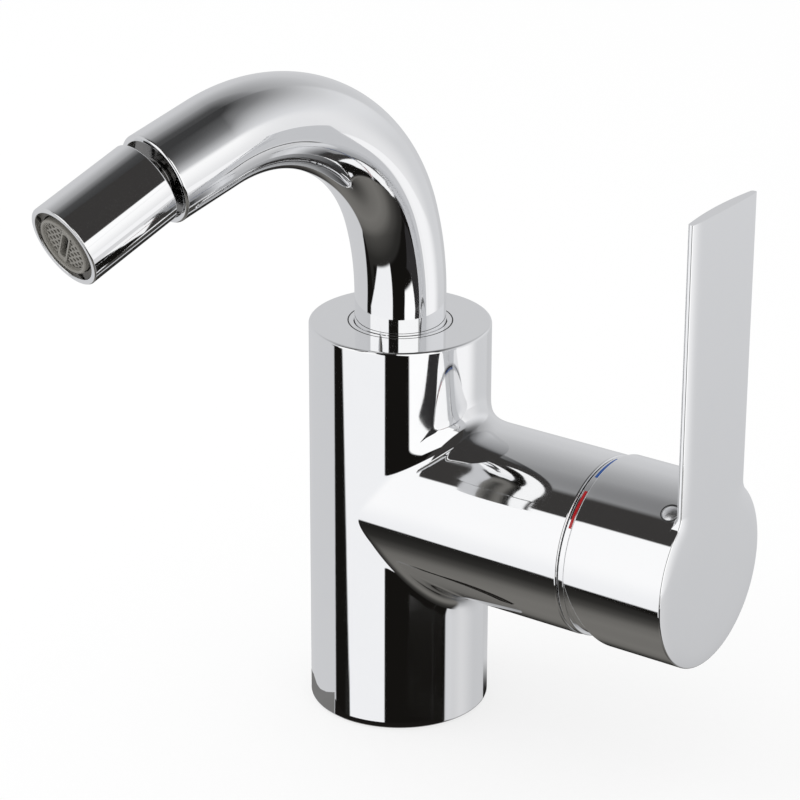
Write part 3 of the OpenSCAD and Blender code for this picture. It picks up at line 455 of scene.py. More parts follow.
    rim_r, wide, gap, ledge = BODY_R - BODY_EDGE, TUBE_R + 0.3, TUBE_R + 0.14, BODY_H - 1.0
    crown = straight((rim_r, BODY_H), (wide, BODY_H), (gap, BODY_H - 0.2), (gap, ledge), (SOCKET_R, ledge),
                     (SOCKET_R, SOCKET_FLOOR), (0.0, SOCKET_FLOOR))
    foot = straight((GROOVE_IN, 0.0), (GROOVE_IN, GROOVE_H), (GROOVE_OUT, GROOVE_H), (GROOVE_OUT, 0.0),
                    (rim_r, 0.0))
    skin.lathe([arc((rim_r, top), BODY_EDGE, 0, 90), arc((rim_r, BODY_EDGE), BODY_EDGE, -90, 0), *crown, *foot],
               UPRIGHT, round_body)
    loops = [GROOVE_IN * np.stack([np.cos(round_body), np.sin(round_body), 0 * round_body], 1)[:-1]]
    for hx, hy, r, depth in BASE_HOLES:
        angles = full_turn(49)
        skin.lathe(straight((0, depth), (r, depth), (r, 0)), Place((hx, hy, 0), np.eye(3)), angles)
        loops.append(np.stack([hx + r * np.cos(angles), hy + r * np.sin(angles), 0 * angles], 1)[:-1])
    skin.flat(loops, (0, 0, -1))
    skin.piece("body_skin", "body", "chrome_plate", CHROME, "body_casting")


def joint_skin():
    """The dark joint round the spout's seat on the body's top: a thin ring let into it, proud by a hair."""
    half, depth, proud = 0.17, 0.5, 0.006
    skin = Skin()
    skin.lathe(square_ring(COLLAR_R - half, COLLAR_R + half, BODY_H - depth, BODY_H + proud))
    skin.piece("seat_joint", "body", "black_rubber", RUBBER)


def on_body(wall):
    """Points at these angles and heights on the body's cylinder, with the outward directions twice over."""
    angle, height = wall[..., 0], wall[..., 1]
    out = np.stack([np.cos(angle), np.sin(angle), 0 * angle], -1)
    return BODY_R * out + height[..., None] * UP, out, out


def spout_skin():
    """The tube: a circle carried square to the spout's line, radius r about the point on the line in the
    directions across and sideways, with a rounded lip at the far end and a bore all the way back."""
    skin = Skin()
    psi = full_turn(121)

    def carried(path, radius):
        """Points and outward directions of a circle of each radius about each point of the path."""
        lean = path[:, 2]
        across = np.cos(lean)[:, None] * FORWARD - np.sin(lean)[:, None] * UP
        out = np.cos(psi)[:, None] * across[:, None] + np.sin(psi)[:, None] * SIDE
        mid = path[:, :1] * FORWARD + path[:, 1:2] * UP
        return mid[:, None] + radius * out, out

    inner_lip = 0.3
    ahead = np.array([math.sin(SPOUT[-1, 2]), math.cos(SPOUT[-1, 2])])
    for radius, lip, sign in ((TUBE_R, TUBE_LIP, 1), (TUBE_IN_R, inner_lip, -1)):
        short = SPOUT.copy()
        short[-1, :2] -= lip * ahead
        points, out = carried(short, radius)
        skin.patch(points, sign * out, sign * out)
    outer_r, inner_r = TUBE_R - TUBE_LIP, TUBE_IN_R + inner_lip
    skin.lathe([arc((outer_r, -TUBE_LIP), TUBE_LIP, 0, 90), line((outer_r, 0), (inner_r, 0)),
                arc((inner_r, -inner_lip), inner_lip, 90, 180, 5)], Place(TAIL_END, heading_axes(HEADING)), psi)
    skin.lathe([line((TUBE_IN_R, 0), (TUBE_R, 0))], Place(UP * TUBE_Z, heading_axes(0)), psi)
    skin.piece("spout_skin", "spout", "chrome_plate", CHROME, "spout_tube")


def nipple_skin():
    """The bush in the tube's end, its neck and the ball, turned from one profile."""
    face, back, neck, bore, corner = -BALL_AHEAD - 1.6, -BALL_AHEAD - 12.6, 4.4, 3.0, 0.8
    bush_r, edge = TUBE_IN_R - 0.02, 0.3
    meet = -math.sqrt(BALL_R ** 2 - neck ** 2)
    lift = math.degrees(math.asin(meet / BALL_R))
    front = math.degrees(math.acos(bore / BALL_R))
    skin = Skin()
    skin.lathe([
        *straight((bore, math.sqrt(BALL_R ** 2 - bore ** 2)), (bore, back), (bush_r, back), (bush_r, face - edge)),
        arc((bush_r - edge, face - edge), edge, 0, 90, 5),
        line((bush_r - edge, face), (neck + corner, face)),
        arc((neck + corner, face + corner), corner, 270, 180),
        line((neck, face + corner), (neck, meet)),
        arc((0, 0), BALL_R, lift, front, 49)], BALL)
    # Painted shade: the ball nipple gets the darkened chrome for the shade of its gap.
    skin.piece("ball_nipple_skin", "spout", "chrome_plate", PAINTED_SHADE_CHROME, "ball_nipple")


def outlet_skin():
    """The outlet's shell turned about its own axis: a slightly widening outside, rounded edges, a bore and a
    round seat."""
    z0, z1, r0, r1, edge, bore, seat = -5.8, MOUTH_Z, 10.5, 10.6, 0.4, 9.2, 9.2
    land, lip, seat_end = 0.2, 0.25, 2.5
    mouth_r = math.sqrt(seat ** 2 - z0 ** 2)
    skin = Skin()
    skin.lathe([
        line((mouth_r + land, z0), (r0 - edge, z0)),
        arc((r0 - edge, z0 + edge), edge, -90, 0),
        line((r0, z0 + edge), (r1, z1 - edge), 3),
        arc((r1 - edge, z1 - edge), edge, 0, 90),
        line((r1 - edge, z1), (bore + lip, z1)),
        arc((bore + lip, z1 - lip), lip, 90, 180, 5),
        *straight((bore, z1 - lip), (bore, seat_end), (seat, 0.0)),
        arc((0, 0), seat, 0, math.degrees(math.asin(z0 / seat)), 17),
        line((mouth_r, z0), (mouth_r + land, z0))], OUTLET)
    skin.piece("outlet_skin", "outlet", "chrome_plate", CHROME, "outlet_shell")


def ring_skin():
    """The indicator ring turned about the barrel: sleeve, rim with rounded edges, dome and bore."""
    sleeve, bore, edge, dome_r, dome_x, back, front = 19.4, 17.9, 0.25, 21.9, 64.3, 57.0, 74.9
    rim0, rim1 = RING_X, RING_X + RING_W
    start = math.degrees(math.asin((rim1 - dome_x) / dome_r))
    end = math.degrees(math.asin((front - dome_x) / dome_r))
    crown = dome_r * math.cos(math.radians(end))
    skin = Skin()
    skin.lathe([
        *straight((bore, back), (sleeve, back), (sleeve, rim0), (RING_R - edge, rim0)),
        arc((RING_R - edge, rim0 + edge), edge, -90, 0, 7),
        line((RING_R, rim0 + edge), (RING_R, rim1 - edge)),
        arc((RING_R - edge, rim1 - edge), edge, 0, 90, 7),
        line((RING_R - edge, rim1), (dome_r * math.cos(math.radians(start)), rim1)),
        arc((0, dome_x), dome_r, start, end, 17),
        *straight((crown, front), (bore, front), (bore, back))], BARREL, full_turn(181))
    skin.piece("ring_skin", "body", "chrome_plate", CHROME, "indicator_ring")


def mark_skin(name, middle, slot, node):
    """A coloured inlay: an arc of the ring's rim, raised by a hair, with sides that go down into it."""
    proud, sink, x0, x1, half = 0.03, 0.3, RING_X + 0.65, RING_X + 1.4, 13.0
    angle = np.radians(180 - np.linspace(middle - half, middle + half, 33))
    r0, r1 = RING_R - sink, RING_R + proud
    section = np.array([(r0, x0), (r1, x0), (r1, x1), (r0, x1), (r0, x0)])
    skin = Skin()
    skin.lathe(straight(*section), BARREL, angle[::-1])
    for end, sign in ((angle[0], 1.0), (angle[-1], -1.0)):
        c, s = math.cos(end), math.sin(end)
        loop = np.stack([section[:-1, 0] * c, section[:-1, 0] * s, section[:-1, 1]], 1)
        skin.flat([BARREL.points(loop)], BARREL.directions(np.array([-s, c, 0.0]) * sign))
    skin.piece(name, "body", slot, FINISHES[slot], node)


def handle_skin():
    """The handle. Its outline in the face's plane is a disc, two hollow corner arcs that touch disc and lever, and
    the lever's straight sides up to its top, which is its section cut square. Towards its outline the face sinks
    by a sum of powers of the distance to go, and the edge is an arc from there. The lever's back is a shallow arc
    across its width, its thickness less a square of the distance from the middle, and meets the cap's cylinder in
    a small fillet."""
    skin = Skin()
    lift = np.array([0, 0, BARREL_Z])
    cx = LEVER_HALF + LEVER_FILLET
    cz = math.sqrt((CAP_R + LEVER_FILLET) ** 2 - cx ** 2)
    touch = np.array([cx, cz]) * CAP_R / (CAP_R + LEVER_FILLET)
    start = math.atan2(-cz, -cx) + 2 * math.pi
    back_edge, rear_edge, swell, crowding, wall_share = 0.7, 0.3, 3.0, 1.6, 0.9

    def set_on(x, plane):
        """Points at these distances along the barrel and places in the face's plane."""
        return np.concatenate([x[..., None], plane], -1) + lift

    def sink(s):
        """How far the face lies below its flat middle at the distance s from its border, and its slope there."""
        left = [(depth, reach, power, np.maximum(1 - s / reach, 0)) for depth, reach, power in CROWN]
        return sum(d * k ** p for d, w, p, k in left), sum(d * p / w * k ** (p - 1) for d, w, p, k in left)

    low, steep = sink(0.0)
    lean = math.atan(steep)
    girdle = FACE_X - low - CAP_EDGE * math.cos(lean)
    inset = CAP_EDGE * (1 - math.sin(lean))

    # Right side from the touching point up: outer line, and how far the face and the back lie in from it
    k = np.linspace(0, 1, 21)
    psi = start + (math.pi - start) * k
    ray = pairs(np.cos(psi), np.sin(psi))
    rise = np.linspace(cz, LEVER_TOP, 52)[1:]
    outer = np.concatenate([np.array([cx, cz]) + LEVER_FILLET * ray, pairs(LEVER_HALF, rise)])
    square = np.concatenate([ray, np.tile((-1.0, 0.0), (len(rise), 1))])
    ease = np.concatenate([k * k * (3 - 2 * k), np.ones(len(rise))])[:, None]
    back_line = outer + back_edge * ease * square

    # Back of the lever: rows follow the side's points, and the lowest row is the cap's own circle
    u = np.linspace(-1, 1, 61)
    dome = (np.sqrt(CAP_R ** 2 - (touch[0] * u) ** 2) - touch[1]) / (CAP_R - touch[1])
    middle = np.concatenate([CAP_R + swell * k ** 2, np.linspace(CAP_R + swell, LEVER_TOP, 52)[1:]])
    y = back_line[:, :1] * u
    z = back_line[:, 1:] + (middle[:, None] - back_line[:, 1:]) * dome
    h = np.sqrt(y * y + z * z) - CAP_R
    foot = FOOT_R - np.sqrt(np.maximum(FOOT_R ** 2 - np.maximum(FOOT_R - h, 0) ** 2, 0))
    bulge = (LEVER_T - LEVER_EDGE) * np.maximum(1 - (y / LEVER_HALF) ** 2, 0)
    x = FACE_X - LEVER_EDGE - bulge - np.where(h < FOOT_R, foot, 0)
    x[0] = FACE_X - LEVER_EDGE - bulge[0] - FOOT_R
    skin.patch(np.stack([x, y, z], -1) + lift, (-1, 0, 0))

    def shoulder(border, inward):
        """From the flat middle of the face out to the girdle: the sinking band, then the edge's arc. Gives the
        middle's border, and the profile at the last point."""
        s = (np.linspace(1, 0, 17) ** crowding * CROWN[-1][1])[:, None]
        depth, slope = sink(s)
        flat = border + (inset + s[..., None]) * inward
        edge_tilt = np.linspace(lean, math.pi / 2, 11)[:, None]
        edge = border + CAP_EDGE * (1 - np.sin(edge_tilt))[..., None] * inward
        edge_x = girdle + CAP_EDGE * np.cos(edge_tilt)
        for points, height, t in ((flat, FACE_X - depth, np.arctan(slope)), (edge, edge_x, edge_tilt)):
            height, t = height + 0 * border[:, 0], t + 0 * border[:, 0]
            normals = np.concatenate([np.cos(t)[..., None], -np.sin(t)[..., None] * inward], -1)
            skin.patch(set_on(height, points), normals, normals)
        return flat[0], np.concatenate([pairs(FACE_X - depth[:-1, 0], flat[:-1, -1, 0]),
                                        pairs(edge_x[:, 0], edge[:, -1, 0])])

    def behind(border, rear, rear_x, out):
        """From the girdle straight back, then a quarter circle in to the back's border. Gives the profile at the
        last point."""
        r = np.minimum(np.linalg.norm(border - rear, axis=1), wall_share * (girdle - rear_x))
        f = np.linspace(0, math.pi / 2, 8)[:, None]
        points = rear + (border - rear) * np.cos(f)[..., None]
        height = rear_x + r * (1 - np.sin(f))
        skin.patch(set_on(height, points), out)
        wall = np.stack([0 * height[0] + girdle, height[0]])
        skin.patch(set_on(wall, np.stack([border, border])), out)
        return pairs(height[:, -1], points[:, -1, 0])

    mirror = np.array([-1.0, 1.0])
    t0 = math.atan2(touch[0], touch[1])
    beta = np.linspace(t0, 2 * math.pi - t0, 201)
    ring = pairs(np.sin(beta), np.cos(beta))
    right, front_side = shoulder(outer, square)
    shoulder(outer * mirror, square * mirror)
    rim = shoulder(CAP_R * ring, -ring)[0]
    rear_side = behind(outer, back_line, x[:, -1], (0, 1, 0))
    behind(outer * mirror, back_line * mirror, x[:, 0], (0, -1, 0))

    # Top of the lever: its section, cut square
    side = np.concatenate([front_side, rear_side])
    rear_row = pairs(x[-1], y[-1])[-2:0:-1]
    front_row = pairs(FACE_X, right[-1, 0] * u)[1:-1]
    section = np.concatenate([side, rear_row, side[::-1] * (1.0, -1.0), front_row])
    skin.flat([np.concatenate([section, np.full((len(section), 1), LEVER_TOP)], 1) + lift], (0, 0, 1))

    # Flat middle of the face: rows across the lever, and below them a fan about the cap's axis
    rows = pairs(right[:, :1] * u, right[:, 1:])
    loop = np.concatenate([rim, rows[0, 1:]])
    for grid in (rows, np.stack([0 * loop, loop])):
        forward = np.zeros(grid.shape[:2] + (3,)) + (1.0, 0.0, 0.0)
        skin.patch(set_on(np.full(grid.shape[:2], FACE_X), grid), forward, forward)

    # Cap and bore
    above = np.arctan2(y[0], z[0])
    t = np.linspace(0, 1, 13)[:, None]
    tan = math.tan(math.radians(RELIEF))

    def cylinder(angles, first_x, radius, sign):
        """Wall of the cap at these angles, from the first rows to the rear edge, which leans forward below the
        axis."""
        ring = pairs(np.sin(angles), np.cos(angles))
        rear = CAP_X + np.maximum(0, -CAP_R * ring[:, 1]) * tan + rear_edge
        rows = np.concatenate([first_x[:-1], first_x[-1] * (1 - t) + rear * t])
        out = np.concatenate([0 * ring[:, :1], ring], 1) + np.zeros((len(rows), 1, 1))
        skin.patch(set_on(rows, radius * out[..., 1:]), sign * out, sign * out)
        return ring, rear

    lower_first = np.stack([0 * beta + girdle, 0 * beta + x[0, 0]])
    f = np.linspace(0, math.pi / 2, 5)[:, None]
    for angles, first in ((above, x[:1]), (beta, lower_first)):
        ring, rear = cylinder(angles, first, CAP_R, 1)
        cylinder(angles, np.full((1, len(angles)), FACE_X - FACE_WALL), CAP_IN_R, -1)
        lip_x = rear - rear_edge * np.sin(f)
        lip = (CAP_R - rear_edge * (1 - np.cos(f)))[..., None] * ring
        rearward = np.concatenate([0 * ring[:, :1] - 1, ring], 1) + 0 * lip[..., :1]
        skin.patch(set_on(lip_x, lip), rearward)
        skin.patch(set_on(np.stack([lip_x[-1], rear]), np.stack([lip[-1], CAP_IN_R * ring])), (-1, 0, 0))
    ends = np.concatenate([above[:-1], beta[:-1]])
    disc = CAP_IN_R * pairs(np.sin(ends), np.cos(ends))
    skin.flat([set_on(0 * ends + FACE_X - FACE_WALL, disc)], (-1, 0, 0))
    skin.piece("handle_skin", "lever", "chrome_plate", CHROME, "handle")


def plug_place():
    """Frame of the grub screw's axis: along the barrel, round it, and out of the cap."""
    a = math.radians(PLUG_ANGLE)
    along = np.array([0.0, -math.sin(a), math.cos(a)])
    return Place((PLUG_X, 0, BARREL_Z), [(1, 0, 0), np.cross(along, (1, 0, 0)), along])


def plug_skin():
    """The plug over the grub screw: a domed top, its height falling with the square of the radius, and a rounded
    edge."""
    edge, crown, proud, depth = 0.2, 0.55, 0.12, 2.0
    top_z, dome_r = PLUG_TOP + proud, PLUG_R - edge
    base, brow = top_z - depth, top_z - crown
    skin = Skin()
    top = line((dome_r, brow), (0.0, brow), 13)
    top[:, 1] += crown * (1 - (top[:, 0] / dome_r) ** 2)
    skin.lathe([*straight((0, base), (PLUG_R, base), (PLUG_R, brow - edge)),
                arc((dome_r, brow - edge), edge, 0, 90, 7), top], plug_place(), full_turn(73))
    skin.piece("plug_skin", "lever", "chrome_plate", SATIN, "grub_plug")


def plug_gap_shade_skin():
    """Painted shade round the plug: a low black ring turned about the screw's axis, standing in for the shadow in
    the gap round the plug.
    """
    lap, width, depth, proud = 0.05, 0.2, 0.6, 0.03
    skin = Skin()
    ring = square_ring(PLUG_R - lap, PLUG_R + width, CAP_R - depth, CAP_R + proud)
    skin.lathe(ring, plug_place(), full_turn(73))
    skin.piece("plug_seat", "lever", "black_rubber", RUBBER)


def insert_skin():
    """The aerator's insert: a rounded bead round a plate with two windows and a coin slot, and honeycomb cells in
    the windows. Each cell is a ring between two hexagons, i widths across, half a width more in every other row,
    and three quarters of j heights up."""
    front, floor, plate_r, window_r, bar = MOUTH_Z + 0.25, MOUTH_Z - 4.0, 6.75, 6.2, 1.4
    slot_w, slot_l, under_rim, under_bar = 0.95, 4.7, 0.35, 0.25
    bead_in, bead_out, bead_edge, back_r, back_gap = 6.5, 7.4, 0.45, 6.4, 0.3
    z1, z0, c1, c0, brow = front - 0.55, front - 2.6, front - 0.8, front - 2.2, front - bead_edge
    skin = Skin()
    skin.lathe([*straight((bead_in, floor), (bead_out, floor), (bead_out, brow)),
                arc((bead_out - bead_edge, brow), bead_edge, 0, 180, 15),
                line((bead_in, brow), (bead_in, floor))], OUTLET)
    c, d = math.cos(SLOT_TURN), math.sin(SLOT_TURN)
    plate = Place(OUTLET.origin, np.array([(c, d, 0), (-d, c, 0), (0, 0, 1)]) @ OUTLET.axes)
    half = math.acos(bar / window_r)
    bow = np.linspace(half, -half, 41)
    bay = window_r * pairs(np.sin(bow), np.cos(bow))
    ends = np.linspace(-math.pi / 2, math.pi / 2, 13)
    cap = pairs(slot_l - slot_w + slot_w * np.cos(ends), slot_w * np.sin(ends))
    slot = np.concatenate([cap, -cap])[::-1]
    around = full_turn(97)[:-1]
    loops = [plate_r * pairs(np.cos(around), np.sin(around)), bay[::-1], -bay[::-1], slot]

    def at_height(loop, height):
        """A loop of the plate's plane, set at this height."""
        return plate.points(np.column_stack([loop, 0 * loop[:, 0] + height]))

    for height, out in ((z1, 1), (z0, -1)):
        skin.flat([at_height(loop, height) for loop in loops], out * plate.axes[2])
    handed = np.linalg.det(plate.axes) > 0
    for loop in loops:
        ring = np.concatenate([loop, loop[:1]])
        wall = np.concatenate([at_height(ring, z0), at_height(ring, z1)])
        facets = quads(2, len(ring))
        area = np.sum(loop[:, 0] * np.roll(loop[:, 1], -1) - loop[:, 1] * np.roll(loop[:, 0], -1))
        outward = (area > 0) == (loop is loops[0])
        skin.facet(wall, facets if outward == handed else facets[:, ::-1])

    # Cells
    i, j = np.meshgrid(np.arange(-9, 10), np.arange(-7, 8))
    cells = pairs((i + 0.5 * (j % 2)) * CELL_W, j * 0.75 * CELL_H).reshape(-1, 2)
    off = np.abs(-cells[:, 0] * d + cells[:, 1] * c)
    cells = cells[(np.hypot(*cells.T) < window_r + under_rim) & (off > bar - under_bar)]
    corners = [(0.5, -0.25), (0.5, 0.25), (0, 0.5), (-0.5, 0.25), (-0.5, -0.25), (0, -0.5), (0.5, -0.25)]
    hexagon = np.array(corners) * (CELL_W, CELL_H)
    walls = [(0.998, c0), (0.998, c1), (0.62, c1), (0.66, c0), (0.998, c0)]
    section = np.stack([np.column_stack([k * hexagon, np.full(len(hexagon), h)]) for k, h in walls])
    points = section[None] + np.concatenate([cells, 0 * cells[:, :1]], 1)[:, None, None]
    first = len(walls) * len(hexagon) * np.arange(len(cells))
    facets = (quads(len(walls), len(hexagon))[None] + first[:, None, None]).reshape(-1, 3)
    skin.facet(OUTLET.points(points.reshape(-1, 3)), facets if handed else facets[:, ::-1])
    skin.piece("aerator_insert", "outlet", "grey_plastic", INSERT, "aerator_grid")
    back = Skin()
    back.lathe(straight((0, floor), (back_r, floor), (back_r, z0 - back_gap), (0, z0 - back_gap)), OUTLET)
    back.piece("aerator_back", "outlet", "black_plastic", BLACK)


def bare_floor():
    """A flat round sheet under the object, as a grid in distance and angle. To the camera it is mostly plain
    white."""
    reach, drop, plain_share = 4000.0, 0.3, 0.7
    skin = Skin()
    skin.lathe([line((reach, -drop), (0.0, -drop), 9)], UPRIGHT, full_turn(65))
    finish, tree, shader = new_finish("pale_floor")
    cloud = add(tree, "ShaderNodeGroup", {"Grain": 900.0, "Cloud": 3.0}, node_tree=SPECKLE).outputs["Cloud"]
    tone = mixed(tree, cloud, (0.95, 0.95, 0.95, 1), (0.94, 0.94, 0.94, 1))
    tree.links.new(tone, shader.inputs["Base Color"])
    shader.inputs["Roughness"].default_value = 0.9
    shader.inputs["Specular IOR Level"].default_value = 0.0
    white = add(tree, "ShaderNodeEmission", {"Color": (1, 1, 1, 1), "Strength": 1.0}).outputs[0]
    seen = add(tree, "ShaderNodeLightPath").outputs["Is Camera Ray"]
    share = math_node(tree, "MULTIPLY", seen, plain_share)
    both = add(tree, "ShaderNodeMixShader", {0: share, 1: shader.outputs[0], 2: white})
    tree.links.new(both.outputs[0], tree.nodes["Material Output"].inputs["Surface"])
    floor = new_object("floor", np.concatenate(skin.points), np.concatenate(skin.corners), finish)
    floor.visible_glossy = False


def painted_reflection_sheet(name, grid, tone):
    """Painted reflection: a thin sheet on the table that glows with a set tone and is seen only in reflections: a
    grid of points in the plane, in millimetres.
    """
    above = 0.2
    points = np.concatenate([grid, np.full(grid.shape[:2] + (1,), above)], -1).reshape(-1, 3)
    finish, tree, _ = new_finish(name)
    cloud = add(tree, "ShaderNodeGroup", {"Cloud": 40.0}, node_tree=SPECKLE).outputs["Cloud"]
    shade = mixed(tree, cloud, *[(*(part * np.array(tone)), 1) for part in (0.8, 1.2)])
    glow = add(tree, "ShaderNodeEmission", {"Color": shade, "Strength": 1.0}).outputs[0]
    tree.links.new(glow, tree.nodes["Material Output"].inputs["Surface"])
    sheet = new_object(name, points, quads(*grid.shape[:2]), finish)
    sheet.visible_camera = sheet.visible_diffuse = sheet.visible_shadow = sheet.visible_transmission = False


def foot_ring(azimuths, widths):
    """Points from the body's foot out along the mirrored lines of sight, the reach given at a few azimuths."""
    a = np.linspace(azimuths[0], azimuths[-1], 73)
    reach = np.linspace(0, 1, 5)[:, None] * np.interp(a, azimuths, widths)
    away = 2 * a - CAMERA_AZIMUTH
    x = BODY_R * np.sin(np.radians(a)) + reach * np.sin(np.radians(away))
    y = -BODY_R * np.cos(np.radians(a)) - reach * np.cos(np.radians(away))
    return pairs(x, y)


# Tones by elevation in degrees: the room's pale back, the part behind the lever and the dark table
BACK_TONES = [(-90, 0.06), (90, 0.05), (-70, 0.11), (-60, 0.25), (-48, 0.42), (-28, 0.56), (0, 0.66), (25, 0.60),
              (42, 0.47), (57, 0.335), (62, 0.23), (75, 0.07)]
FACE_TONES = [(-90, 0.06), (90, 0.05), (-70, 0.11), (-60, 0.25), (-48, 0.45), (-28, 0.595), (-19, 0.68), (0, 0.67),
              (14, 0.76), (20, 0.76), (27.5, 0.69), (37.5, 0.56), (47.5, 0.39), (57.5, 0.217), (66, 0.13),
              (73, 0.045)]
TABLE_TONES = [(-90, 0.04), (90, 0.014), (-80, 0.09), (-70, 0.15), (-60, 0.175), (-53, 0.145), (-46, 0.065),
               (-39, 0.026), (-31, 0.016)]
COOL, WARM = (0.992, 1.0, 1.022), (1.0, 0.965, 0.90)


def studio():
    """World: white behind the object, and for reflections a room of bright panels left and right with a dark gap
    between them, a dim ceiling, a pale back and a dark table. Each is a mask in the direction's azimuth (from the
    front towards the lever) and elevation, in degrees, whose borders are smooth steps, and whose upright borders
    may lean with the elevation."""
    world = bpy.data.worlds.new("studio")
    scene.world = world
    world.use_nodes = True
    tree = world.node_tree
    tree.nodes.clear()
    direction = add(tree, "ShaderNodeTexCoord").outputs["Generated"]
    toward = add(tree, "ShaderNodeSeparateXYZ", {0: direction}).outputs

    def calc(operation, *values):
        """One arithmetic step of the room."""
        return math_node(tree, operation, *values)

    ahead = calc("MULTIPLY", toward[1], -1.0)
    azimuth = calc("MULTIPLY", calc("ARCTAN2", toward[0], ahead), 180 / math.pi)
    elevation = calc("MULTIPLY", calc("ARCSINE", toward[2]), 180 / math.pi)

    def past(at, soft, value=azimuth):
        """Smooth step from 0 to 1 about at, soft wide on either side."""
        return add(tree, "ShaderNodeMapRange", {"Value": value, "From Min": at - soft, "From Max": at + soft},
                   interpolation_type="SMOOTHSTEP").outputs[0]

    def before(at, soft, value=azimuth):
        """One less that step."""
        return calc("SUBTRACT", 1.0, past(at, soft, value))

    def above(at, soft):
        """The same step in elevation."""
        return past(at, soft, elevation)

    def below(at, soft):
        """One less the step in elevation."""
        return before(at, soft, elevation)

    def lean(slope):
        """Azimuth counted from a border that moves by slope degrees for each degree of elevation."""
        return calc("MULTIPLY_ADD", elevation, -slope, azimuth)

    def tones(stops, height=elevation, tint=COOL):
        """Tinted tone by elevation, straight between the given stops."""
        share = calc("MULTIPLY_ADD", height, 1 / 180, 0.5)
        node = add(tree, "ShaderNodeValToRGB", {"Fac": share})
        ramp = node.color_ramp.elements
        for k, (at, tone) in enumerate(stops):
            stop = ramp[k] if k < 2 else ramp.new((at + 90) / 180)
            stop.position, stop.color = (at + 90) / 180, (*(tone * np.array(tint)), 1)
        return node.outputs["Color"]

    def over(room, tone, *masks):
        """The room with this tone where the masks meet, by their product."""
        mask = masks[0]
        for other in masks[1:]:
            mask = calc("MULTIPLY", mask, other)
        return mixed(tree, mask, room, tone)

    # Back, its tones drawn down near the lever, ceiling and dark front
    face, side, panel_end, panel_top, panel_foot = 97.2, 78, 99.6, 17, -25.5
    near, reach, pull, most = 99, 7.5, 20.0, 22.0
    dark, dim, dull = (0.0072, 0.0066, 0.0058, 1), (0.042, 0.040, 0.039, 1), (0.62, 0.625, 0.64, 1)
    falloff = calc("EXPONENT", calc("MULTIPLY_ADD", azimuth, -1 / reach, near / reach))
    lowered = calc("MINIMUM", calc("MULTIPLY", falloff, pull), most)
    raised = calc("ADD", elevation, calc("SUBTRACT", lowered, 1.0))
    room = over(tones(BACK_TONES), tones(FACE_TONES, raised), past(face, 1.2), before(176, 4))
    room = over(room, dim, past(-69, 6), before(face, 1.2), above(33, 3))
    room = over(room, dark, past(-44, 2), before(80, 2), below(36, 3))
    room = over(room, dim, past(side, 2), before(face, 1.2), above(2, 5), below(42, 3))
    room = over(room, dark, past(side, 2), before(97, 1.5), below(0, 5))
    room = over(room, dull, past(-140, 14), before(-55.8, 1.5), below(28, 18))
    room = over(room, dark, past(-56.3, 1.2), before(-30, 2), below(-4, 6))
    # Left panel, paler above, and right panels with a fanned inner border
    glow = over((0.93, 0.935, 0.95, 1), (1.03, 1.03, 1.035, 1), above(-12, 14))
    room = over(room, glow, past(-45.8, 1.5), past(-75, 1.4, lean(-1.5)), before(11.3, 1.1, lean(-0.26)),
                before(16.0, 0.8), past(-90, 1.6, lean(1.3)), below(50.5, 1.5))
    fan = calc("MAXIMUM", calc("MULTIPLY_ADD", elevation, -0.46, 36.0), 30.5)
    right = calc("SUBTRACT", azimuth, fan)
    white, band = (1.06, 1.06, 1.06, 1), (0.97, 0.97, 0.98, 1)
    foot = above(panel_foot, 0.5)
    room = over(room, white, past(0, 1.2, right), before(82, 3), below(47, 1.5), foot)
    room = over(room, white, past(side, 2), before(panel_end, 0.8), below(panel_top, 1.2), foot)
    room = over(room, white, past(panel_end, 0.8), before(112, 14), below(panel_top, 5), foot)
    pale = over((0.72, 0.72, 0.73, 1), (0.84, 0.84, 0.85, 1), above(-20, 6))
    room = over(room, pale, past(112, 14), before(136, 16), below(panel_top, 6), above(-40, 8))
    room = over(room, band, past(108, 6), before(137, 12), below(-15.8, 0.8), above(-24.5, 0.6))
    # Table, pale at the back
    table, pale_table = tones(TABLE_TONES, tint=WARM), (0.95, 0.95, 0.96, 1)
    room = over(room, pale_table, before(-136, 8), below(-29, 3), above(-50, 6))
    room = over(room, table, past(-34, 1.0), before(72, 8, lean(-1.0)), below(-36, 0.8))
    room = over(room, table, past(-0.565, 0.02, toward[0]), before(-33, 1.0), below(-27.4, 0.3))
    ray = add(tree, "ShaderNodeLightPath").outputs
    plain = mixed(tree, ray["Is Camera Ray"], (0.96, 0.96, 0.96, 1), (1, 1, 1, 1))
    seen = mixed(tree, ray["Is Glossy Ray"], plain, room)
    light = add(tree, "ShaderNodeBackground", {"Color": seen, "Strength": 1.0})
    tree.links.new(light.outputs[0], add(tree, "ShaderNodeOutputWorld").inputs[0])


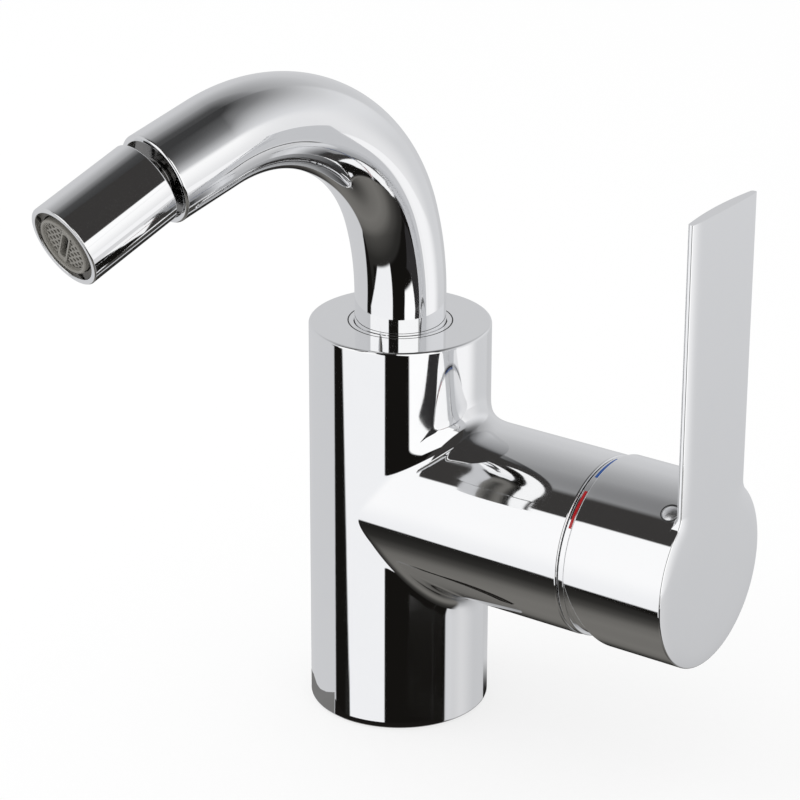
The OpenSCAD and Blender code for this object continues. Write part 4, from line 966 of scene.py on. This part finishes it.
def camera():
    """The view of the photograph, with the angles, distance, offsets and focal length from a fit to its
    outlines."""
    a, e, roll = (math.radians(v) for v in (CAMERA_AZIMUTH, CAMERA_RISE, CAMERA_ROLL))
    back = np.array([math.sin(a) * math.cos(e), -math.cos(a) * math.cos(e), math.sin(e)])
    right = np.array([math.cos(a), math.sin(a), 0.0])
    up = np.cross(back, right)
    right, up = right * math.cos(roll) + up * math.sin(roll), up * math.cos(roll) - right * math.sin(roll)
    at = np.array([0, 0, AIM_Z]) + back * CAMERA_AWAY + right * CAMERA_RIGHT + up * CAMERA_UP
    data = bpy.data.cameras.new("camera")
    data.sensor_width, data.lens = SENSOR_MM, SENSOR_MM * FOCAL_PX / FRAME_PX
    data.clip_start, data.clip_end = 0.01, 50
    eye = bpy.data.objects.new("camera", data)
    scene.collection.objects.link(eye)
    facing = Matrix([right, up, back]).transposed().to_4x4()
    eye.matrix_world = Matrix.Translation(Vector(at * MM)) @ facing
    scene.camera = eye


def soft_lamp(name, place, size, power):
    """A square soft lamp that faces the middle of the object, unseen in reflections."""
    data = bpy.data.lights.new(name, "AREA")
    data.size, data.energy = size, power
    lamp = bpy.data.objects.new(name, data)
    scene.collection.objects.link(lamp)
    lamp.location = place
    lamp.rotation_mode = "QUATERNION"
    middle = Vector((0, 0, 0.07))
    lamp.rotation_quaternion = (middle - Vector(place)).to_track_quat("-Z", "Y")
    lamp.visible_glossy = False


camera()
body_skin()
spout_skin()
nipple_skin()
outlet_skin()
ring_skin()
mark_skin("hot_mark_skin", 45.0, "red_enamel", "hot_mark")
mark_skin("cold_mark_skin", 83.0, "blue_enamel", "cold_mark")
handle_skin()
plug_skin()
plug_gap_shade_skin()
joint_skin()
insert_skin()

node_slots = {part["node"]: part["material_slot"] for part in frame["record"]["subparts"]}
for node, obj in frame["nodes"].items():
    obj.data.materials.clear()
    obj.data.materials.append(FINISHES.get(node_slots[node], BLACK))

bare_floor()
# Painted shadow: dark and grey glowing sheets round the foot show in the chrome as the table's shade next to the
# body.
painted_reflection_sheet("painted_foot_shadow_dark", foot_ring([-11.2, -5, 0, 58, 66], [9.0, 4.0, 2.8, 2.8, 0.1]), (0.010, 0.009, 0.008))
painted_reflection_sheet("painted_foot_shadow_grey", foot_ring([-56, -41, -34, -28, -20, -11.6], [11.0, 12.6, 9.6, 8.9, 10.0, 12.4]),
     (0.19, 0.188, 0.185))
# Painted reflection: a dark glowing strip off to the side that shows only in the chrome.
strip = np.array([[(190, -124), (217, -108), (246, -100), (290, -92)],
                  [(207, -48), (227, -42), (258, -34), (300, -24)]], float)
painted_reflection_sheet("painted_reflection_side", strip, (0.030, 0.029, 0.030))
studio()
soft_lamp("key", (-0.6, -0.5, 1.1), 0.8, 3.0)
scene.view_settings.view_transform = "Standard"
